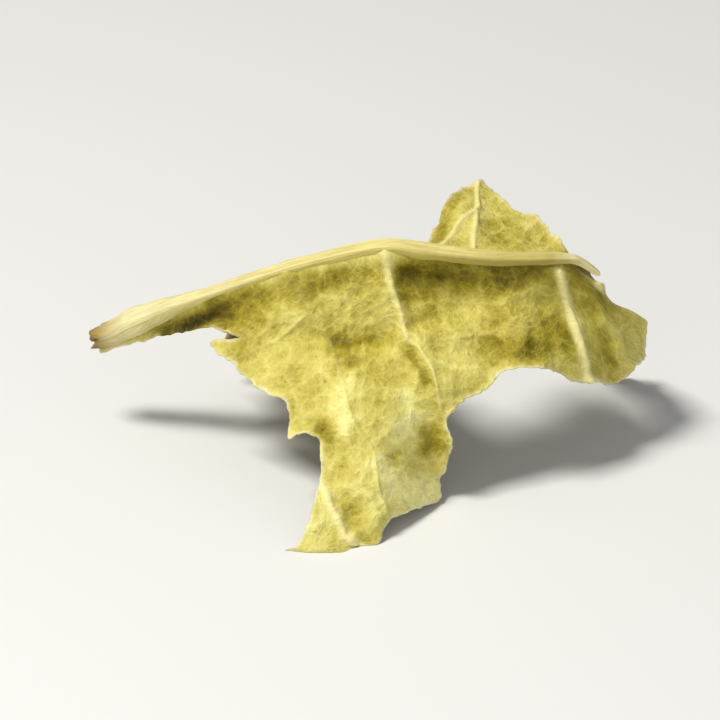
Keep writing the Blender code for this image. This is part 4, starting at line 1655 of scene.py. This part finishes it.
@dataclass
class Midrib:
    """The midrib: a wrinkled tapering rod, torn at its thick end, whose thin end bends free of the blade.

    rows has x, the height seen, the depth and the radius.
    """

    form: LeafForm = field(default_factory=LeafForm)
    rows: Rows = (
        (-17.2, 13.70, 19.0, 0.60),
        (-16.0, 13.95, 18.5, 0.78),
        (-14.6, 14.65, 17.9, 0.90),
        (-13.2, 15.20, 17.3, 0.78),
        (-11.5, 15.85, 16.5, 0.60),
        (-9.7, 16.40, 15.9, 0.50),
        (-7.0, 17.34, 15.0, 0.46),
        (-2.6, 18.58, 13.8, 0.45),
        (1.5, 19.28, 13.2, 0.50),
        (3.3, 19.03, 13.1, 0.52),
        (8.6, 18.55, 13.3, 0.47),
        (11.5, 18.58, 13.9, 0.38),
        (12.4, 18.55, 14.2, 0.31),
        (13.0, 18.35, 14.5, 0.27),
        (13.7, 17.90, 14.8, 0.24),
        (14.2, 17.55, 15.1, 0.20),
    )
    rings: int = 760
    sides: int = 72

    # Each kind of wrinkle has its number round the rod and its height as a share of the radius. Each turn
    # has how far it swings the wrinkles' phase, and its length over 2 pi. Away from the torn end only the
    # calm share of the height is left.
    wrinkle_rows: Rows = ((2, 0.05), (3, 0.045), (5, 0.035), (9, 0.025), (14, 0.018))
    turn_rows: Rows = ((0.5, 3.1), (0.4, 1.3))
    seed: int = 51
    calm_share: float = 0.8
    wild_within: float = 6.0

    # Lumps along and round the rod, whose noise is read at a fixed distance from the middle
    lumps: Noise = Noise(1.6, 3, 51)
    lump_height: float = 0.08
    lump_reach: float = 0.8

    # The torn face's rings, the first one's share of the radius, the splinters, which reach back from the
    # face, and the tip's rounding with its least share of the radius
    cap_rings: int = 7
    cap_start: float = 0.12
    splinters: Noise = Noise(0.4, 3, 52)
    torn_length: float = 0.5
    torn_mean: float = 0.35
    torn_reach: float = 1.1
    tip_length: float = 0.5
    tip_least: float = 0.05

    # The painted shade on the lower side as seen: how much of its colour shows, where across the rod it
    # starts and is in full, and how far from the torn end and from the tip it does, and the wrinkles' depth,
    # as a share of the radius, at which a groove's painted shade is full
    painted_shade_share: float = 0.85
    painted_shade_from: tuple[float, float] = (0.1, -0.6)
    painted_shade_after: tuple[float, float] = (1.5, 5.0)
    painted_shade_before: tuple[float, float] = (0.5, 3.5)
    groove_depth: float = 0.1

    def course(self) -> Course:
        """The smooth line through the rows.

        Returns:
            The course, with one ring for each of rings even steps of x.
        """
        x, seen, depth, radius = np.array(self.rows).T
        at = np.linspace(x[0], x[-1], self.rings)
        seen, depth, radius = (smooth_through(x, values, at) for values in (seen, depth, radius))
        middle = np.stack([at, depth, self.form.height_of(seen, depth)], axis=1)
        middle[:, :2] -= self.form.footprint_centre
        run = np.concatenate([[0], np.cumsum(np.linalg.norm(np.diff(middle, axis=0), axis=1))])
        ahead = unit(np.gradient(middle, axis=0))
        side = unit(np.cross(ahead, (0.0, 0.0, 1.0)))
        return Course(middle, radius, run, ahead, side, np.cross(side, ahead))

    def wrinkles(self, run: Array, angle: Array) -> Array:
        """The wrinkles that the rod shrank into.

        They are a sum of cosines of whole multiples of the angle, whose phases drift along the rod by sines
        of the distance.

        Args:
            run: How far along the rod each ring is.
            angle: The angle of each side.

        Returns:
            A row for each ring, with the change of the radius at each side as a share of it.
        """
        rng = np.random.default_rng(self.seed)
        total = np.zeros((len(run), len(angle)))
        for number, height in self.wrinkle_rows:
            phase, *starts = rng.uniform(0, 2 * math.pi, 1 + len(self.turn_rows))
            for (swing, length), start in zip(self.turn_rows, starts):
                phase = phase + swing * np.sin(run / length + start)
            total += height * np.cos(number * angle + phase[:, None])
        wild = smooth_step(self.wild_within, 0, run)
        return total * (self.calm_share + (1 - self.calm_share) * wild)[:, None]

    def build(self) -> bpy.types.Object:
        """Builds the rod.

        Each ring's radius is the row's, times 1 plus the wrinkles and the lumps. The thick end closes with a
        ragged face, and the thin end with a quarter circle.

        Returns:
            The piece.
        """
        course = self.course()
        length = course.run[-1]
        # The rings of the torn face share the first place, and shrink to its middle
        rows = np.concatenate([np.zeros(self.cap_rings, int), np.arange(self.rings)])
        run = course.run[rows]
        to_tip = np.clip((length - course.run) / self.tip_length, 0, 1)
        tip = np.sqrt(np.clip(1 - (1 - to_tip) ** 2, self.tip_least**2, 1))
        shrink = np.concatenate([np.linspace(self.cap_start, 1, self.cap_rings, endpoint=False), tip])

        angle = np.linspace(0, 2 * math.pi, self.sides, endpoint=False)
        wrinkles = self.wrinkles(run, angle)
        along = np.repeat(run[:, None], self.sides, axis=1)
        around = np.tile(self.lump_reach * np.cos(angle), (len(rows), 1))
        lumps = self.lumps.at(np.stack([along.ravel(), around.ravel()], axis=1)).reshape(along.shape)
        radius = course.radius[rows][:, None]
        reach = radius * shrink[:, None] * (1 + wrinkles + self.lump_height * lumps)

        # Splinters: the torn face and the rings near it move along the rod by noise over the face
        sideways, upwards = np.cos(angle) * reach, np.sin(angle) * reach
        face = np.stack([sideways.ravel(), upwards.ravel()], axis=1)
        ragged = self.torn_mean + self.splinters.at(face).reshape(reach.shape)
        pushed = self.torn_length * ragged * smooth_step(self.torn_reach, 0, along)
        points = course.middle[rows][:, None]
        for way, distance in ((course.side, sideways), (course.up, upwards), (course.ahead, pushed)):
            points = points + way[rows][:, None] * distance[..., None]

        # Painted shade on the side of the rod that turns down from the view, faded at both ends, and in the
        # grooves between the wrinkles
        across = np.sin(angle - self.form.view_down)
        off_ends = smooth_step(*self.painted_shade_after, along) * smooth_step(*self.painted_shade_before, length - along)
        painted = {
            "share": along / length,
            "groove": np.clip(-wrinkles / self.groove_depth, 0, 1),
            "lower": self.painted_shade_share * smooth_step(*self.painted_shade_from, across) * off_ends,
        }
        return self.as_piece(points, along, angle * radius, painted)

    def as_piece(
        self, points: Array, along: Array, around: Array, painted: dict[str, Array]
    ) -> bpy.types.Object:
        """Joins the rings, closes both ends with a middle point, and writes the attributes.

        Args:
            points: The rings' points.
            along: How far along the rod each is, in millimetres.
            around: How far round it, likewise.
            painted: The numbers that the finish reads, by attribute.

        Returns:
            The piece.
        """
        rings, sides = points.shape[:2]
        number = np.arange(rings * sides).reshape(rings, sides)
        after = np.roll(number, -1, axis=1)
        quads = np.stack([number[:-1], number[1:], after[1:], after[:-1]], axis=2).reshape(-1, 4)
        first, last = rings * sides, rings * sides + 1
        start_fan = np.stack([number[0], after[0], np.full(sides, first)], axis=1)
        end_fan = np.stack([after[-1], number[-1], np.full(sides, last)], axis=1)
        grid = points.reshape(-1, 3)
        grid = kept_in_box(np.vstack([grid, grid[number[0]].mean(0), grid[number[-1]].mean(0)]))
        mesh = new_mesh("leaf_midrib", grid * METRES_PER_MM, [quads, np.vstack([start_fan, end_fan])])

        def with_ends(values: Array) -> Array:
            """The values of the rings' points with those of the two middle points."""
            return np.concatenate([values.ravel(), [values[0].mean(), values[-1].mean()]])

        flat = np.column_stack([with_ends(along), with_ends(around), np.zeros(len(grid))])
        painted = {name: with_ends(values) for name, values in painted.items()}
        write_attributes(mesh, {"flat": flat, **painted})
        mesh.materials.append(DriedMidrib().material())
        return shown("leaf_midrib", mesh)


@dataclass
class Studio:
    """A plain pale floor, soft lights, and the camera at the photograph's angle.

    Lengths are in metres, apart from the sensor's width in millimetres. Each light has its name, place,
    width, power in watts and colour.
    """

    floor_size: float = 6.0
    floor_colour: str = "#e9e9e7"
    floor_roughness: float = 0.9
    sky_colour: str = "#f7f8fa"
    sky_strength: float = 0.26
    look_down: float = LeafForm.view_down
    distance: float = 0.42
    frame_width: float = 0.044
    aim: tuple[float, float, float] = (-0.0005, -0.0035, 0.0085)
    sensor: float = 36.0
    clip_start: float = 0.01
    lights: tuple = (
        ("key", (-0.15, -0.09, 0.35), 0.11, 1.4, "#fffcf6"),
        ("fill", (0.25, -0.30, 0.18), 0.25, 0.10, "#f8faff"),
        ("front", (-0.05, -0.40, 0.16), 0.25, 0.20, "#fffdf9"),
    )

    def build(self) -> None:
        """Makes the floor, the sky, the lights and the camera."""
        self.make_floor()
        self.make_lights()
        self.make_camera()
        LOG.info("studio: floor, %d lights, camera", len(self.lights))

    def make_floor(self) -> None:
        """A flat floor under the piece, dull and nearly white."""
        half = self.floor_size / 2
        corners = np.array([(-half, -half, 0), (half, -half, 0), (half, half, 0), (-half, half, 0)], float)
        mesh = new_mesh("floor", corners, [np.array([[0, 1, 2, 3]])])
        material = bpy.data.materials.new("matt_white_card")
        material.use_nodes = True
        shader = material.node_tree.nodes["Principled BSDF"]
        shader.inputs["Base Color"].default_value = linear(self.floor_colour)
        shader.inputs["Roughness"].default_value = self.floor_roughness
        mesh.materials.append(material)
        floor = bpy.data.objects.new("floor", mesh)
        bpy.context.scene.collection.objects.link(floor)

    def make_lights(self) -> None:
        """An even pale sky, and square soft lights that face the piece."""
        world = bpy.data.worlds.new("pale_sky")
        bpy.context.scene.world = world
        world.use_nodes = True
        background = world.node_tree.nodes["Background"]
        background.inputs["Color"].default_value = linear(self.sky_colour)
        background.inputs["Strength"].default_value = self.sky_strength
        for name, place, size, power, colour in self.lights:
            light = bpy.data.lights.new(name, "AREA")
            light.shape = "SQUARE"
            light.size = size
            light.energy = power
            light.color = linear(colour)[:3]
            lamp = bpy.data.objects.new(name, light)
            bpy.context.scene.collection.objects.link(lamp)
            lamp.location = place
            lamp.rotation_euler = (Vector(self.aim) - Vector(place)).to_track_quat("-Z", "Y").to_euler()

    def make_camera(self) -> None:
        """A long lens that looks down on the piece, with the frame's width at the aim."""
        lens = bpy.data.cameras.new("camera")
        lens.sensor_width = self.sensor
        lens.lens = self.sensor * self.distance / self.frame_width
        lens.clip_start = self.clip_start
        camera = bpy.data.objects.new("camera", lens)
        bpy.context.scene.collection.objects.link(camera)
        down = self.look_down
        camera.location = Vector(self.aim) + self.distance * Vector((0, -math.cos(down), math.sin(down)))
        camera.rotation_euler = (math.pi / 2 - down, 0, 0)
        bpy.context.scene.camera = camera
        bpy.context.scene.view_settings.view_transform = "Standard"


def main() -> None:
    """Builds the blade, the midrib and the studio."""
    logging.basicConfig(level=logging.INFO, format="%(name)s %(message)s")
    for part in (LeafBlade(), Midrib()):
        part.build()
    Studio().build()


if __name__ == "__main__":
    main()
